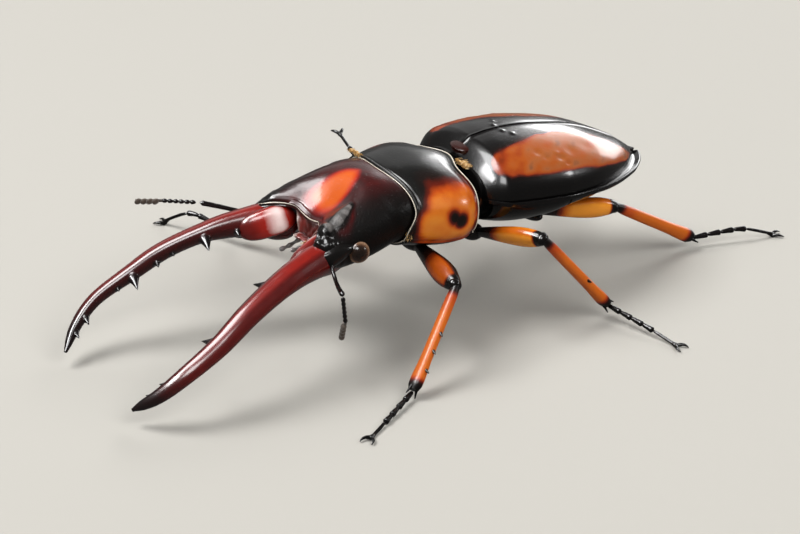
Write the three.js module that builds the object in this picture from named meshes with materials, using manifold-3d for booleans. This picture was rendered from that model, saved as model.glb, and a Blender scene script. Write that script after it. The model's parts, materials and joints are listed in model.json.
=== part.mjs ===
// A large male stag beetle standing on its feet with its jaws open, as a still, life-size model.
// Millimetres. The trunk frame has +x to the animal's left, +y towards its tail and +z up. Its origin is
// the middle of the wing cases' front edge, at the level of their side margin. The trunk is pitched nose-up
// and lifted so that the feet stand on z = 0, and the finished group is centred over its footprint.
import * as THREE from "three";
import { mergeVertices } from "three/addons/utils/BufferGeometryUtils.js";
import Module from "manifold-3d";

const wasm = await Module();
wasm.setup();

// ---------------------------------------------------------------- driving dimensions
const GAP = 0.3; // clear space between pieces that touch
const TRUNK_PITCH = 7; // degrees that the trunk is raised at the head end
const TRUNK_LIFT = 16.4; // height of the wing cases' front edge above the floor
const HEAD_BOW = 20; // degrees that the head is bent down from the trunk
const NECK = [-13.0, -1.0]; // y and z of the joint that the head bows about

const WING_LENGTH = 30.3;
const WING_RIM = 0.7; // thickness of the flat margin round the wing cases
// Columns: share of the length, half width with the rim, height over the margin.
const WING_OUTLINE = [
  [0.0, 9.8, 4.9],
  [0.03, 10.3, 5.2],
  [0.086, 10.7, 5.6],
  [0.165, 10.95, 6.05],
  [0.28, 11.1, 6.3],
  [0.42, 10.95, 6.15],
  [0.63, 9.5, 5.3],
  [0.84, 6.1, 3.2],
  [0.94, 3.4, 1.6],
  [0.985, 1.5, 0.7],
  [1.0, 0.5, 0.35],
];
const WING_POWER = 2.25; // roundness of the wing cases' cross-section: 2 is an ellipse
// Columns: share of the wing cases' length, depth of the thorax and abdomen below the margin.
const BELLY_DEPTH = [
  [0.0, 4.6],
  [0.15, 5.2],
  [0.33, 4.9],
  [0.45, 3.9],
  [0.7, 3.1],
  [1.0, 0.9],
];
const BELLY_INSET = 0.8; // how far the belly lies inside the wing cases' outline
const WAIST = 12.6; // length at which the thorax ends and the abdomen starts, underneath

const SCUTELLUM = { halfWidth: 2.2, length: 3.3, thickness: 1.2 };

const PRONOTUM_LENGTH = 11.3;
const PRONOTUM_BACK = -0.9;
// Columns: share of the length from front to back, half width, height over the level of the side margin,
// depth below it.
const PRONOTUM_OUTLINE = [
  [0.0, 8.8, 4.95, 4.3],
  [0.2, 9.6, 5.5, 4.6],
  [0.5, 10.3, 5.98, 4.9],
  [0.75, 10.2, 5.85, 4.9],
  [0.9, 9.5, 5.5, 4.7],
  [1.0, 8.7, 5.1, 4.3],
];
const PRONOTUM_MARGIN = -1.8; // level of the side margin in the trunk frame

const HEAD_LENGTH = 12.2; // from the neck to the front corners
const HEAD_TUCK = 3.4; // how far the head reaches back into the pronotum
const HEAD_LEVEL = -0.5; // level of the sides of the head in the head frame
// Columns: share of the length from back to front, half width, height over the level, depth below it.
const HEAD_OUTLINE = [
  [0.0, 6.6, 3.0, 3.4],
  [0.108, 7.8, 3.95, 4.0],
  [0.286, 8.3, 4.75, 4.3],
  [0.51, 8.7, 4.95, 4.3],
  [0.73, 8.75, 4.85, 3.8],
  [0.893, 8.7, 4.65, 3.0],
  [1.0, 8.5, 3.9, 2.2],
];
const BROW = { depth: 2.5, from: 0.35, to: 0.9, halfWidth: 6 }; // the hollow over the mouth
const FRONT_RECESS = 3.6; // how far the middle of the head's front edge lies behind the corners
const EYE = { radius: 1.5, at: [7.9, -6.3, -1.3] };
const CANTHUS = { radii: [1.5, 1.9, 0.75], at: [7.9, -8.0, -0.5] }; // the ledge over the eye's front
const LABRUM = { halfWidth: 2.2, from: -7.6, to: -10.8, level: -0.9, thickness: 0.7 };
// Feelers of the mouth, left side, in the head frame: each runs through three points.
const PALPS = {
  palp_outer: [
    [3.0, -8.6, -2.9],
    [3.4, -10.6, -3.4],
    [3.0, -12.4, -3.0],
  ],
  palp_inner: [
    [1.1, -8.8, -3.0],
    [1.3, -10.4, -3.0],
    [1.0, -11.8, -2.5],
  ],
};
const PALP_RADIUS = 0.3;

// The antennae in the head frame: where the first joint starts, the elbow, the start of the club and its
// tip. They are held differently on the two sides.
const ANTENNAE = {
  left: [
    [7.6, -10.7, -3.1],
    [15.2, -13.7, -0.6],
    [14.3, -13.8, -5.2],
    [12.9, -14.1, -8.3],
  ],
  right: [
    [-8.5, -9.6, -2.2],
    [-13.0, -17.1, 2.4],
    [-15.6, -21.0, 3.6],
    [-17.5, -24.1, 4.4],
  ],
};
const SCAPE_RADIUS = 0.32;
const BEAD = { count: 6, radius: 0.33 };
const CLUB = { leaves: 3, halfWidth: 0.75, halfThickness: 0.38 };

// The jaw's middle line, left side, in the head frame.
const JAW_LINE = [
  [5.0, -7.6, -0.8],
  [6.2, -10.0, -0.95],
  [7.15, -12.9, -0.07],
  [8.9, -18.3, 0.55],
  [10.5, -24.3, 0.05],
  [11.5, -29.6, -1.35],
  [11.8, -34.9, -2.6],
  [10.8, -38.8, -4.2],
  [8.8, -41.8, -5.6],
];
// Columns: share of the way along, half of the greater and half of the lesser thickness.
const JAW_SIZE = [
  [0.0, 1.5, 1.5],
  [0.07, 2.05, 2.5],
  [0.13, 2.0, 2.65],
  [0.24, 2.08, 2.07],
  [0.32, 1.85, 1.65],
  [0.42, 1.65, 1.2],
  [0.58, 1.4, 1.15],
  [0.72, 1.2, 0.92],
  [0.86, 0.95, 0.75],
  [0.95, 0.65, 0.5],
  [1.0, 0.22, 0.22],
];
const JAW_TILT = 30; // degrees that the jaw's inner edge is raised over its outer edge
// Teeth on the inner edge: share of the way along, length, root radius.
const JAW_TEETH = [
  [0.31, 1.0, 0.5],
  [0.397, 2.6, 0.8],
  [0.485, 0.6, 0.45],
  [0.535, 1.0, 0.5],
  [0.617, 2.4, 0.75],
  [0.67, 0.6, 0.4],
  [0.812, 1.4, 0.5],
  [0.884, 1.1, 0.4],
];
const TOOTH_AIM = [-1, 0.35, -0.08]; // inwards, along the jaw and upwards

// Each leg: hip on the left side in the trunk frame, coxa radii, length of the femur and of the tibia,
// and the pose on each side. Ankle and toe stand on the floor below the trunk frame; lean is the angle
// in degrees by which the knee is turned from straight above the line of hip and ankle.
const LEGS = {
  front: {
    hip: [3.4, -7.7, -6.2],
    coxa: [2.6, 1.5, 1.4],
    femur: 13.35,
    tibia: 14.6,
    left: { ankle: [21.8, -20.2, 1.2], toe: [27.6, -30.2, 0.2], arch: 0, lean: -50 },
    right: { ankle: [-27.0, -17.0, 1.7], toe: [-37.9, -22.4, 0.2], arch: 2.1, lean: 10 },
  },
  mid: {
    hip: [3.8, 1.4, -6.2],
    coxa: [1.7, 1.6, 1.2],
    femur: 12.9,
    tibia: 14.5,
    left: { ankle: [17.6, 12.6, 2.0], toe: [29.3, 15.3, 0.2], arch: 0.2, lean: 38.7 },
    right: { ankle: [-27.4, 4.8, 4.6], toe: [-39.3, 7.2, 6.0], arch: 0, lean: 0 },
  },
  hind: {
    hip: [4.2, 9.8, -4.3],
    coxa: [3.0, 1.4, 1.0],
    femur: 12.95,
    tibia: 14.7,
    left: { ankle: [7.5, 34.3, 1.6], toe: [11.0, 46.0, 0.2], arch: 1.1, lean: 18.7 },
    right: { ankle: [-17.5, 27.5, 1.6], toe: [-24.5, 37.6, 0.2], arch: 0.9, lean: -10 },
  },
};
// Columns: share of the way along, half width, half thickness.
const FEMUR_SIZE = [
  [0.0, 0.55, 0.55],
  [0.15, 0.7, 0.65],
  [0.35, 1.05, 0.9],
  [0.62, 1.5, 1.1],
  [0.78, 1.5, 1.1],
  [0.91, 1.15, 0.95],
  [1.0, 0.75, 0.7],
];
const TIBIA_SIZE = [
  [0.0, 0.5, 0.5],
  [0.12, 0.72, 0.6],
  [0.7, 0.85, 0.62],
  [0.94, 1.0, 0.72],
  [1.0, 0.7, 0.55],
];
const TARSUS_RADIUS = 0.42;
const TARSUS_JOINTS = 5;
const CLAW = { length: 1.5, spread: 0.8, radius: 0.3 };

// ---------------------------------------------------------------- materials
const finish = (color, roughness) => new THREE.MeshStandardMaterial({ color, roughness, metalness: 0 });
const BLACK_CHITIN = finish("#17110f", 0.25);
const HEAD_CHITIN = finish("#3a120d", 0.28);
const JAW_CHITIN = finish("#6b0f10", 0.25);
const FEMUR_CHITIN = finish("#c8660f", 0.3);
const TIBIA_CHITIN = finish("#a8400f", 0.3);
const WING_CHITIN = finish("#2a1710", 0.22);
const EYE_CHITIN = finish("#2b1a12", 0.15);
const CLUB_CHITIN = finish("#4a4038", 0.7);

// ---------------------------------------------------------------- shape helpers
const radians = THREE.MathUtils.degToRad;
const signedPower = (v, p) => Math.sign(v) * Math.abs(v) ** p;
const smooth = (t) => {
  const k = Math.min(1, Math.max(0, t));
  return k * k * (3 - 2 * k);
};
const vector = (p, side = 1) => new THREE.Vector3(p[0] * side, p[1], p[2]);

// The value at s of a smooth curve through the knots [s, value, value, ...].
function through(knots, s, column = 1) {
  const last = knots.length - 1;
  let i = 0;
  while (i < last - 1 && s > knots[i + 1][0]) i += 1;
  const slope = (k) => {
    const a = knots[Math.max(0, k - 1)];
    const b = knots[Math.min(last, k + 1)];
    return (b[column] - a[column]) / (b[0] - a[0]);
  };
  const width = knots[i + 1][0] - knots[i][0];
  const t = Math.min(1, Math.max(0, (s - knots[i][0]) / width));
  const [t2, t3] = [t * t, t * t * t];
  return (
    (2 * t3 - 3 * t2 + 1) * knots[i][column] +
    (t3 - 2 * t2 + t) * width * slope(i) +
    (3 * t2 - 2 * t3) * knots[i + 1][column] +
    (t3 - t2) * width * slope(i + 1)
  );
}

// A manifold solid from points and faces, turned to face outwards.
function solid(points, faces) {
  let volume = 0;
  for (const [a, b, c] of faces) volume += points[a].dot(points[b].clone().cross(points[c]));
  const triVerts = new Uint32Array(faces.flatMap((f) => (volume < 0 ? [...f].reverse() : f)));
  const vertProperties = new Float32Array(points.flatMap((p) => p.toArray()));
  return new wasm.Manifold(new wasm.Mesh({ numProp: 3, vertProperties, triVerts }));
}

// A closed body made of rings of points, each end drawn in to the middle of its ring. pointAt(s, turn)
// gives the point s of the way along and turn of the way round.
function tube(rings, around, pointAt) {
  const points = [];
  const faces = [];
  for (let i = 0; i <= rings; i += 1)
    for (let j = 0; j < around; j += 1) points.push(pointAt(i / rings, j / around));
  for (let i = 0; i < rings; i += 1)
    for (let j = 0; j < around; j += 1) {
      const [a, b] = [i * around + j, i * around + ((j + 1) % around)];
      faces.push([a, b, b + around], [a, b + around, a + around]);
    }
  for (const end of [0, rings]) {
    const ring = points.slice(end * around, (end + 1) * around);
    const middle = ring.reduce((sum, p) => sum.add(p), new THREE.Vector3()).divideScalar(around);
    const pole = points.push(middle) - 1;
    for (let j = 0; j < around; j += 1) {
      const [a, b] = [end * around + j, end * around + ((j + 1) % around)];
      faces.push(end ? [a, b, pole] : [b, a, pole]);
    }
  }
  return solid(points, faces);
}

// A point of a superellipse section with half width w, which rises by top and falls by bottom from z.
function section(turn, y, w, top, bottom, z, power) {
  const angle = turn * 2 * Math.PI;
  const [s, c] = [Math.sin(angle), Math.cos(angle)];
  const height = c > 0 ? top : bottom;
  return new THREE.Vector3(w * signedPower(s, 2 / power), y, z + height * signedPower(c, 2 / power));
}

// A limb: an oval section carried along a path. size(s) gives its half width along side and its half
// height across it.
function limb(path, side, size, rings, around) {
  return tube(rings, around, (s, turn) => {
    const along = path.getTangent(s);
    const across = side.clone().addScaledVector(along, -side.dot(along)).normalize();
    const up = new THREE.Vector3().crossVectors(along, across);
    const [w, h] = size(s);
    const angle = turn * 2 * Math.PI;
    const p = path.getPoint(s).addScaledVector(across, w * Math.cos(angle));
    return p.addScaledVector(up, h * Math.sin(angle));
  });
}

// The manifold solid of a closed three.js geometry.
function solidOf(geometry) {
  const bare = geometry.clone();
  bare.deleteAttribute("normal");
  bare.deleteAttribute("uv");
  const merged = mergeVertices(bare, 1e-4);
  const vertProperties = merged.attributes.position.array;
  return new wasm.Manifold(
    new wasm.Mesh({ numProp: 3, vertProperties, triVerts: new Uint32Array(merged.index.array) }),
  );
}

function ellipsoid(radii, at, segments = 12) {
  const shape = new THREE.SphereGeometry(1, segments, Math.round(segments * 0.66));
  shape.scale(...radii);
  shape.translate(...at);
  return solidOf(shape);
}

function box(from, to) {
  const shape = new THREE.BoxGeometry(...to.map((v, i) => v - from[i]));
  shape.translate(...to.map((v, i) => (v + from[i]) / 2));
  return solidOf(shape);
}

const FAR = 80;
const above = (z) => box([-FAR, -FAR, z], [FAR, FAR, FAR]);
const below = (z) => box([-FAR, -FAR, -FAR], [FAR, FAR, z]);
const behind = (y) => box([-FAR, y, -FAR], [FAR, FAR, FAR]);
const ahead = (y) => box([-FAR, -FAR, -FAR], [FAR, y, FAR]);
const placed = (body, matrix) => body.transform(matrix.elements);
const largest = (body) => body.decompose().sort((a, b) => b.volume() - a.volume())[0];

const beetle = new THREE.Group();

function addMesh(name, body, material) {
  const data = largest(body).getMesh();
  const geometry = new THREE.BufferGeometry();
  geometry.setAttribute("position", new THREE.BufferAttribute(data.vertProperties, data.numProp));
  geometry.setIndex(new THREE.BufferAttribute(data.triVerts, 1));
  geometry.computeVertexNormals();
  const mesh = new THREE.Mesh(geometry, material);
  mesh.name = name;
  beetle.add(mesh);
}

const SIDES = [
  ["left", 1],
  ["right", -1],
];

// ---------------------------------------------------------------- frames
const trunkFrame = new THREE.Matrix4()
  .makeTranslation(0, 0, TRUNK_LIFT)
  .multiply(new THREE.Matrix4().makeRotationX(-radians(TRUNK_PITCH)));
const headFrame = trunkFrame
  .clone()
  .multiply(new THREE.Matrix4().makeTranslation(0, ...NECK))
  .multiply(new THREE.Matrix4().makeRotationX(radians(HEAD_BOW)));

// ---------------------------------------------------------------- wing cases, thorax and abdomen
const rimWidth = (s) => 0.45 + 0.55 * s ** 3;

function hindShape(inset, rings = 20, around = 24) {
  return tube(rings, around, (s, turn) => {
    const y = inset + s * (WING_LENGTH - rimWidth(1) - 2 * inset);
    const w = Math.max(0.25, through(WING_OUTLINE, s, 1) - rimWidth(s) - inset);
    const top = Math.max(0.12, through(WING_OUTLINE, s, 2) - inset);
    return section(turn, y, w, top, through(BELLY_DEPTH, s), 0, WING_POWER);
  });
}

// The flat rim that runs round the wing cases' side margin and is widest at the tip.
function rimShape() {
  const outline = new THREE.Shape();
  const steps = 30;
  const edge = [...Array(steps + 1)].map((_, i) => {
    const s = 1 - (1 - i / steps) ** 1.5;
    return [Math.max(0.2, through(WING_OUTLINE, s, 1)), s * WING_LENGTH];
  });
  outline.moveTo(...edge[0]);
  for (const [x, y] of edge.slice(1)) outline.lineTo(x, y);
  for (const [x, y] of edge.reverse()) outline.lineTo(-x, y);
  const shape = new THREE.ExtrudeGeometry(outline, { depth: WING_RIM, bevelEnabled: false });
  shape.translate(0, 0, -WING_RIM / 2);
  return solidOf(shape);
}

// The scutellum is the small shield between the wing cases' front corners.
function scutellumShape(grow) {
  const [w, l] = [SCUTELLUM.halfWidth + grow, SCUTELLUM.length + grow];
  const outline = new THREE.Shape();
  outline.moveTo(-w, -grow);
  outline.lineTo(w, -grow);
  outline.quadraticCurveTo(w * 0.9, l * 0.55, 0, l);
  outline.quadraticCurveTo(-w * 0.9, l * 0.55, -w, -grow);
  const depth = SCUTELLUM.thickness + 2 * grow;
  const plate = new THREE.ExtrudeGeometry(outline, { depth, bevelEnabled: false, curveSegments: 5 });
  plate.translate(0, 0, -grow);
  plate.rotateX(radians(12));
  plate.translate(0, 0.0, 3.75);
  return solidOf(plate);
}

// The collar joins the thorax to the pronotum under the front of the wing cases.
function collarShape(grow) {
  return tube(1, 18, (s, turn) => {
    const y = PRONOTUM_BACK + GAP + 0.15 - grow + s * (2 + 2 * grow);
    return section(turn, y, 7.4 + grow, 3.5 + grow, 4.5 + grow, 0, 2.3);
  });
}

const wings = hindShape(0)
  .intersect(above(-WING_RIM / 2))
  .add(rimShape())
  .subtract(collarShape(GAP))
  .subtract(scutellumShape(GAP));
const belly = hindShape(BELLY_INSET, 14, 20)
  .intersect(below(-WING_RIM / 2 - GAP))
  .add(collarShape(0))
  .subtract(scutellumShape(GAP));

// ---------------------------------------------------------------- pronotum
// How far its edges lie behind their place at the side, at sideways distance x.
const frontEdge = (x) => 1.1 * smooth(Math.abs(x) / 9);
const hindEdge = (x) => -1.2 * smooth(Math.abs(x) / 4.2) + 0.5 * smooth((Math.abs(x) - 4.5) / 3.5);

function pronotumShape() {
  return tube(9, 26, (s, turn) => {
    const value = (column) => through(PRONOTUM_OUTLINE, s, column);
    const p = section(turn, 0, value(1), value(2), value(3), PRONOTUM_MARGIN, 2.35);
    const front = PRONOTUM_BACK - PRONOTUM_LENGTH;
    const corner = 1 - smooth((0.2 - p.z) / 3.2);
    p.y = front + s * PRONOTUM_LENGTH + (1 - s) * frontEdge(p.x) * corner + s * hindEdge(p.x);
    return p;
  });
}

// ---------------------------------------------------------------- head
// The head's front edge lies back between the corners, and its face is hollowed over the mouth.
function headShape(grow, rings = 10, around = 24) {
  return tube(rings, around, (s, turn) => {
    const value = (column) => through(HEAD_OUTLINE, s, column) + grow;
    const p = section(turn, 0, value(1), value(2), value(3), HEAD_LEVEL, 2.3);
    const x = Math.abs(p.x);
    const front = -HEAD_LENGTH + FRONT_RECESS * (1 - smooth((x - 2.3) / 5));
    p.y = HEAD_TUCK - s * (HEAD_TUCK - front) + (s < 0.5 ? grow : -grow);
    const hollow = smooth((s - BROW.from) / (BROW.to - BROW.from)) * (1 - smooth(x / BROW.halfWidth));
    if (p.z > HEAD_LEVEL) p.z -= BROW.depth * hollow * smooth((p.z - HEAD_LEVEL) / 2);
    return p;
  });
}

function eyeShape(side, grow) {
  return ellipsoid(Array(3).fill(EYE.radius + grow), vector(EYE.at, side).toArray(), grow ? 8 : 10);
}

function labrumShape(grow) {
  const { halfWidth, from, to, level, thickness } = LABRUM;
  const outline = new THREE.Shape();
  outline.moveTo(-halfWidth - grow, from + grow);
  outline.lineTo(-halfWidth * 0.85 - grow, to);
  outline.quadraticCurveTo(0, to - 1.2 - grow, halfWidth * 0.85 + grow, to);
  outline.lineTo(halfWidth + grow, from + grow);
  const depth = thickness + 2 * grow;
  const plate = new THREE.ExtrudeGeometry(outline, { depth, bevelEnabled: false, curveSegments: 6 });
  plate.translate(0, 0, level - grow);
  return solidOf(plate);
}

const palpLine = (points, side) => new THREE.CatmullRomCurve3(points.map((p) => vector(p, side)));

// ---------------------------------------------------------------- antennae
const UP = new THREE.Vector3(0, 0, 1);
const round = (r) => () => [r, r];

function antennaShapes([base, elbow, clubStart, tip]) {
  const lineOf = (a, b, from, to) => {
    const along = b.clone().sub(a).normalize();
    return new THREE.LineCurve3(a.clone().addScaledVector(along, from), b.clone().addScaledVector(along, to));
  };
  const scape = limb(lineOf(base, elbow, -1.2, 0.1), UP, round(SCAPE_RADIUS), 3, 6);
  const beads = (s) => {
    const r = BEAD.radius * (1 - 0.22 * Math.cos(s * BEAD.count * 2 * Math.PI));
    return [r, r];
  };
  const beadLine = lineOf(elbow, clubStart, SCAPE_RADIUS + GAP, 0);
  const funicle = limb(beadLine, UP, beads, 2 * BEAD.count, 6);
  const leaves = (s) => {
    const k = 0.72 - 0.28 * Math.cos(s * CLUB.leaves * 2 * Math.PI);
    return [CLUB.halfWidth * k, CLUB.halfThickness];
  };
  const club = limb(lineOf(clubStart, tip, GAP, 0), UP, leaves, 2 * CLUB.leaves, 8);
  return { scape, funicle, club };
}

// ---------------------------------------------------------------- jaws
const jawLine = (side) => new THREE.CatmullRomCurve3(JAW_LINE.map((p) => vector(p, side)));
const sizeOf = (knots, grow) => (s) => [through(knots, s, 1) + grow, through(knots, s, 2) + grow];
const jawFlat = (side) =>
  new THREE.Vector3(side * Math.cos(radians(JAW_TILT)), 0, -Math.sin(radians(JAW_TILT)));

function jawShape(side) {
  const line = jawLine(side);
  let body = limb(line, jawFlat(side), sizeOf(JAW_SIZE, 0), 16, 8);
  for (const [s, length, radius] of JAW_TEETH) {
    const along = line.getTangent(s);
    const aim = new THREE.Vector3(TOOTH_AIM[0] * side, 0, TOOTH_AIM[2]);
    aim.addScaledVector(along, TOOTH_AIM[1]).normalize();
    const root = line.getPoint(s);
    const reach = length + through(JAW_SIZE, s, 1);
    const tooth = new THREE.CylinderGeometry(0.12, (radius * reach) / (length + 0.5), reach, 5);
    tooth.translate(0, reach / 2, 0);
    tooth.applyQuaternion(new THREE.Quaternion().setFromUnitVectors(new THREE.Vector3(0, 1, 0), aim));
    tooth.translate(root.x, root.y, root.z);
    body = body.add(solidOf(tooth));
  }
  return body;
}

// ---------------------------------------------------------------- legs
// The knee of a leg whose femur and tibia join the hip to the ankle, raised as high as they allow and
// turned about the line from hip to ankle by lean degrees.
function kneeOf(hip, ankle, femur, tibia, lean) {
  const line = ankle.clone().sub(hip);
  const span = line.length();
  const along = line.normalize();
  const reach = (femur ** 2 - tibia ** 2 + span ** 2) / (2 * span);
  const rise = Math.sqrt(Math.max(0.01, femur ** 2 - reach ** 2));
  const up = UP.clone().addScaledVector(along, -along.z).normalize();
  up.applyAxisAngle(along, radians(lean));
  return hip.clone().addScaledVector(along, reach).addScaledVector(up, rise);
}

// The tarsus runs from the ankle to the toe, raised in the middle by arch, and ends in two claws, which
// lie along the floor.
function tarsusShape(ankle, toe, arch) {
  const at = (t, rise) => ankle.clone().lerp(toe, t).add(new THREE.Vector3(0, 0, rise));
  const path = [at(0.04, 0), at(0.3, 0.6 * arch), at(0.6, arch), at(0.86, 0.5 * arch), toe];
  const beads = (s) => {
    const r = TARSUS_RADIUS * (1 - 0.28 * Math.cos(s * TARSUS_JOINTS * 2 * Math.PI));
    return [r, r];
  };
  let shape = limb(new THREE.CatmullRomCurve3(path), UP, beads, 2 * TARSUS_JOINTS, 6);
  const along = toe.clone().sub(ankle).setZ(0).normalize();
  const across = new THREE.Vector3().crossVectors(UP, along);
  for (const turn of [1, -1]) {
    const start = toe.clone().addScaledVector(along, -0.4);
    const end = start.clone().addScaledVector(along, CLAW.length).addScaledVector(across, turn * CLAW.spread);
    shape = shape.add(limb(new THREE.LineCurve3(start, end), UP, round(CLAW.radius), 1, 5));
  }
  return shape;
}

// The solids of one leg in the world frame, and what the trunk is cut back by to clear it.
function legShapes(name, sideName, side) {
  const leg = LEGS[name];
  const pose = leg[sideName];
  const hip = vector(leg.hip, side).applyMatrix4(trunkFrame);
  const ankle = vector(pose.ankle);
  const knee = kneeOf(hip, ankle, leg.femur, leg.tibia, pose.lean);
  const thigh = knee.clone().sub(hip).normalize();
  const shin = ankle.clone().sub(knee).normalize();
  const bend = new THREE.Vector3().crossVectors(thigh, shin).normalize();
  const thighFlat = new THREE.Vector3().crossVectors(bend, thigh);
  const shinFlat = new THREE.Vector3().crossVectors(bend, shin);

  const coxa = (grow) => {
    const radii = leg.coxa.map((r) => r + grow);
    return placed(ellipsoid(radii, vector(leg.hip, side).toArray(), 8), trunkFrame);
  };
  const femurLine = new THREE.LineCurve3(hip, knee.clone().addScaledVector(thigh, 0.2));
  const femur = (grow, rings = 6, around = 8) =>
    limb(femurLine, thighFlat, sizeOf(FEMUR_SIZE, grow), rings, around);
  const tibia = limb(new THREE.LineCurve3(knee, ankle), shinFlat, sizeOf(TIBIA_SIZE, 0), 5, 7);
  return {
    coxa: coxa(0),
    femur: femur(0).subtract(coxa(GAP)),
    tibia: tibia.subtract(femur(GAP)),
    tarsus: tarsusShape(ankle.clone().addScaledVector(shin, GAP), vector(pose.toe), pose.arch),
    clearance: coxa(GAP).add(femur(GAP, 4, 6)),
  };
}

const legs = [];
for (const name of Object.keys(LEGS))
  for (const [sideName, side] of SIDES) legs.push([name + "_" + sideName, legShapes(name, sideName, side)]);
const clearOfLegs = (body) => legs.reduce((rest, [, leg]) => rest.subtract(leg.clearance), body);

// ---------------------------------------------------------------- the pieces
for (const [name, side] of SIDES) {
  const half = box([side > 0 ? GAP / 2 : -FAR, -FAR, -FAR], [side > 0 ? FAR : -GAP / 2, FAR, FAR]);
  addMesh("wing_case_" + name, placed(wings.intersect(half), trunkFrame), WING_CHITIN);
}
addMesh("scutellum", placed(scutellumShape(0), trunkFrame), BLACK_CHITIN);
addMesh("thorax", clearOfLegs(placed(belly.intersect(ahead(WAIST)), trunkFrame)), BLACK_CHITIN);
addMesh("abdomen", clearOfLegs(placed(belly.intersect(behind(WAIST + GAP)), trunkFrame)), BLACK_CHITIN);
const neckHole = placed(headShape(GAP, 8, 20), headFrame);
addMesh("pronotum", clearOfLegs(placed(pronotumShape(), trunkFrame).subtract(neckHole)), BLACK_CHITIN);

let skull = headShape(0).subtract(labrumShape(GAP));
for (const [name, side] of SIDES) {
  addMesh("eye_" + name, placed(eyeShape(side, 0), headFrame), EYE_CHITIN);
  skull = skull.add(ellipsoid(CANTHUS.radii, vector(CANTHUS.at, side).toArray(), 8));
  skull = skull.subtract(eyeShape(side, GAP));
  skull = skull.subtract(limb(jawLine(side), jawFlat(side), sizeOf(JAW_SIZE, GAP), 16, 8));
  const jaw = jawShape(side).subtract(labrumShape(GAP));
  addMesh("jaw_" + name, placed(jaw, headFrame), JAW_CHITIN);
  const joints = ANTENNAE[name].map((p) => vector(p));
  const feeler = antennaShapes(joints);
  const socket = new THREE.LineCurve3(joints[0], joints[1]);
  skull = skull.subtract(limb(socket, UP, round(SCAPE_RADIUS + GAP), 1, 6));
  for (const [joint, body] of Object.entries(feeler)) {
    const material = joint === "club" ? CLUB_CHITIN : BLACK_CHITIN;
    addMesh(joint + "_" + name, placed(body, headFrame), material);
  }
  for (const [label, points] of Object.entries(PALPS)) {
    const body = (grow) => limb(palpLine(points, side), UP, round(PALP_RADIUS + grow), 3, 6);
    addMesh(label + "_" + name, placed(body(0), headFrame), CLUB_CHITIN);
    skull = skull.subtract(body(GAP));
  }
}
addMesh("labrum", placed(labrumShape(0), headFrame), HEAD_CHITIN);
addMesh("head", placed(skull, headFrame), HEAD_CHITIN);

for (const [label, leg] of legs) {
  addMesh("coxa_" + label, leg.coxa, BLACK_CHITIN);
  addMesh("femur_" + label, leg.femur, FEMUR_CHITIN);
  addMesh("tibia_" + label, leg.tibia.subtract(below(0)), TIBIA_CHITIN);
  addMesh("tarsus_" + label, leg.tarsus.subtract(below(0)), BLACK_CHITIN);
}

// Stand the middle of the footprint on the origin.
const extent = new THREE.Box3().setFromObject(beetle, true);
const middle = extent.getCenter(new THREE.Vector3());
for (const mesh of beetle.children) mesh.geometry.translate(-middle.x, -middle.y, -extent.min.z);

export default beetle;
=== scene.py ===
import json
from math import radians

import bpy
import numpy as np
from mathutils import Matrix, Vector

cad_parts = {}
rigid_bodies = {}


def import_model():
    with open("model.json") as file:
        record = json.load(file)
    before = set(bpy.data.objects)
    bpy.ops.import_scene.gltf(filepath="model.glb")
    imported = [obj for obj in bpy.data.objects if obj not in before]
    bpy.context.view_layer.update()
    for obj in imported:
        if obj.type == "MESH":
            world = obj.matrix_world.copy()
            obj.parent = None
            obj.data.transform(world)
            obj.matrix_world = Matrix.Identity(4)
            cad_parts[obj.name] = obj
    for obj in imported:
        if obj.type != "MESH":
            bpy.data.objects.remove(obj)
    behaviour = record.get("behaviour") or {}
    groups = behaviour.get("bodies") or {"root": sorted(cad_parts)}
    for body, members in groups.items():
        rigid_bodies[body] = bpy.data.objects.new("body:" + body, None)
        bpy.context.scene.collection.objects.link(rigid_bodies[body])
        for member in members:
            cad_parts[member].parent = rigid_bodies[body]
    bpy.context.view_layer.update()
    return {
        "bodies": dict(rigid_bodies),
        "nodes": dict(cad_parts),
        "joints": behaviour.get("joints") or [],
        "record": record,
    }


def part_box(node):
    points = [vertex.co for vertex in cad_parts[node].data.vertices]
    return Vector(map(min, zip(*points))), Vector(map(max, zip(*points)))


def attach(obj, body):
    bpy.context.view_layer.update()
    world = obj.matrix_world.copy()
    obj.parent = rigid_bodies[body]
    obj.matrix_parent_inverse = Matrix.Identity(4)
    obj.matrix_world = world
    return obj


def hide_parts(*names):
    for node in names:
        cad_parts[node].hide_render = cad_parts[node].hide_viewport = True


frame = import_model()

# ---------------------------------------------------------------- view, light and display floor
# The model stands on a plain pale table under soft studio lamps, and is seen from its left front quarter,
# a little from above.


def linear(colour):
    """An sRGB hex colour as linear red, green, blue and alpha."""
    value = np.array([int(colour[i : i + 2], 16) for i in (1, 3, 5)]) / 255
    value = np.where(value <= 0.04045, value / 12.92, ((value + 0.055) / 1.055) ** 2.4)
    return (*value.tolist(), 1.0)


def add(tree, kind, sockets=None, stops=None, **settings):
    """A node of the tree with its settings; each socket is given a value or the output that feeds it."""
    node = tree.nodes.new(kind)
    for key, value in settings.items():
        setattr(node, key, value)
    for key, value in (sockets or {}).items():
        if isinstance(value, bpy.types.NodeSocket):
            tree.links.new(value, node.inputs[key])
        else:
            node.inputs[key].default_value = value
    if stops:
        band = node.color_ramp.elements
        while len(band) < len(stops):
            band.new(0.5)
        for element, (place, colour) in zip(band, stops):
            element.position = place
            element.color = linear(colour)
    return node


def toward(azimuth, elevation):
    """The direction to a place seen from the middle of the table: azimuth 0 is ahead of the jaws."""
    a, e = radians(azimuth), radians(elevation)
    return Vector((np.sin(a) * np.cos(e), -np.cos(a) * np.cos(e), np.sin(e)))


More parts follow.
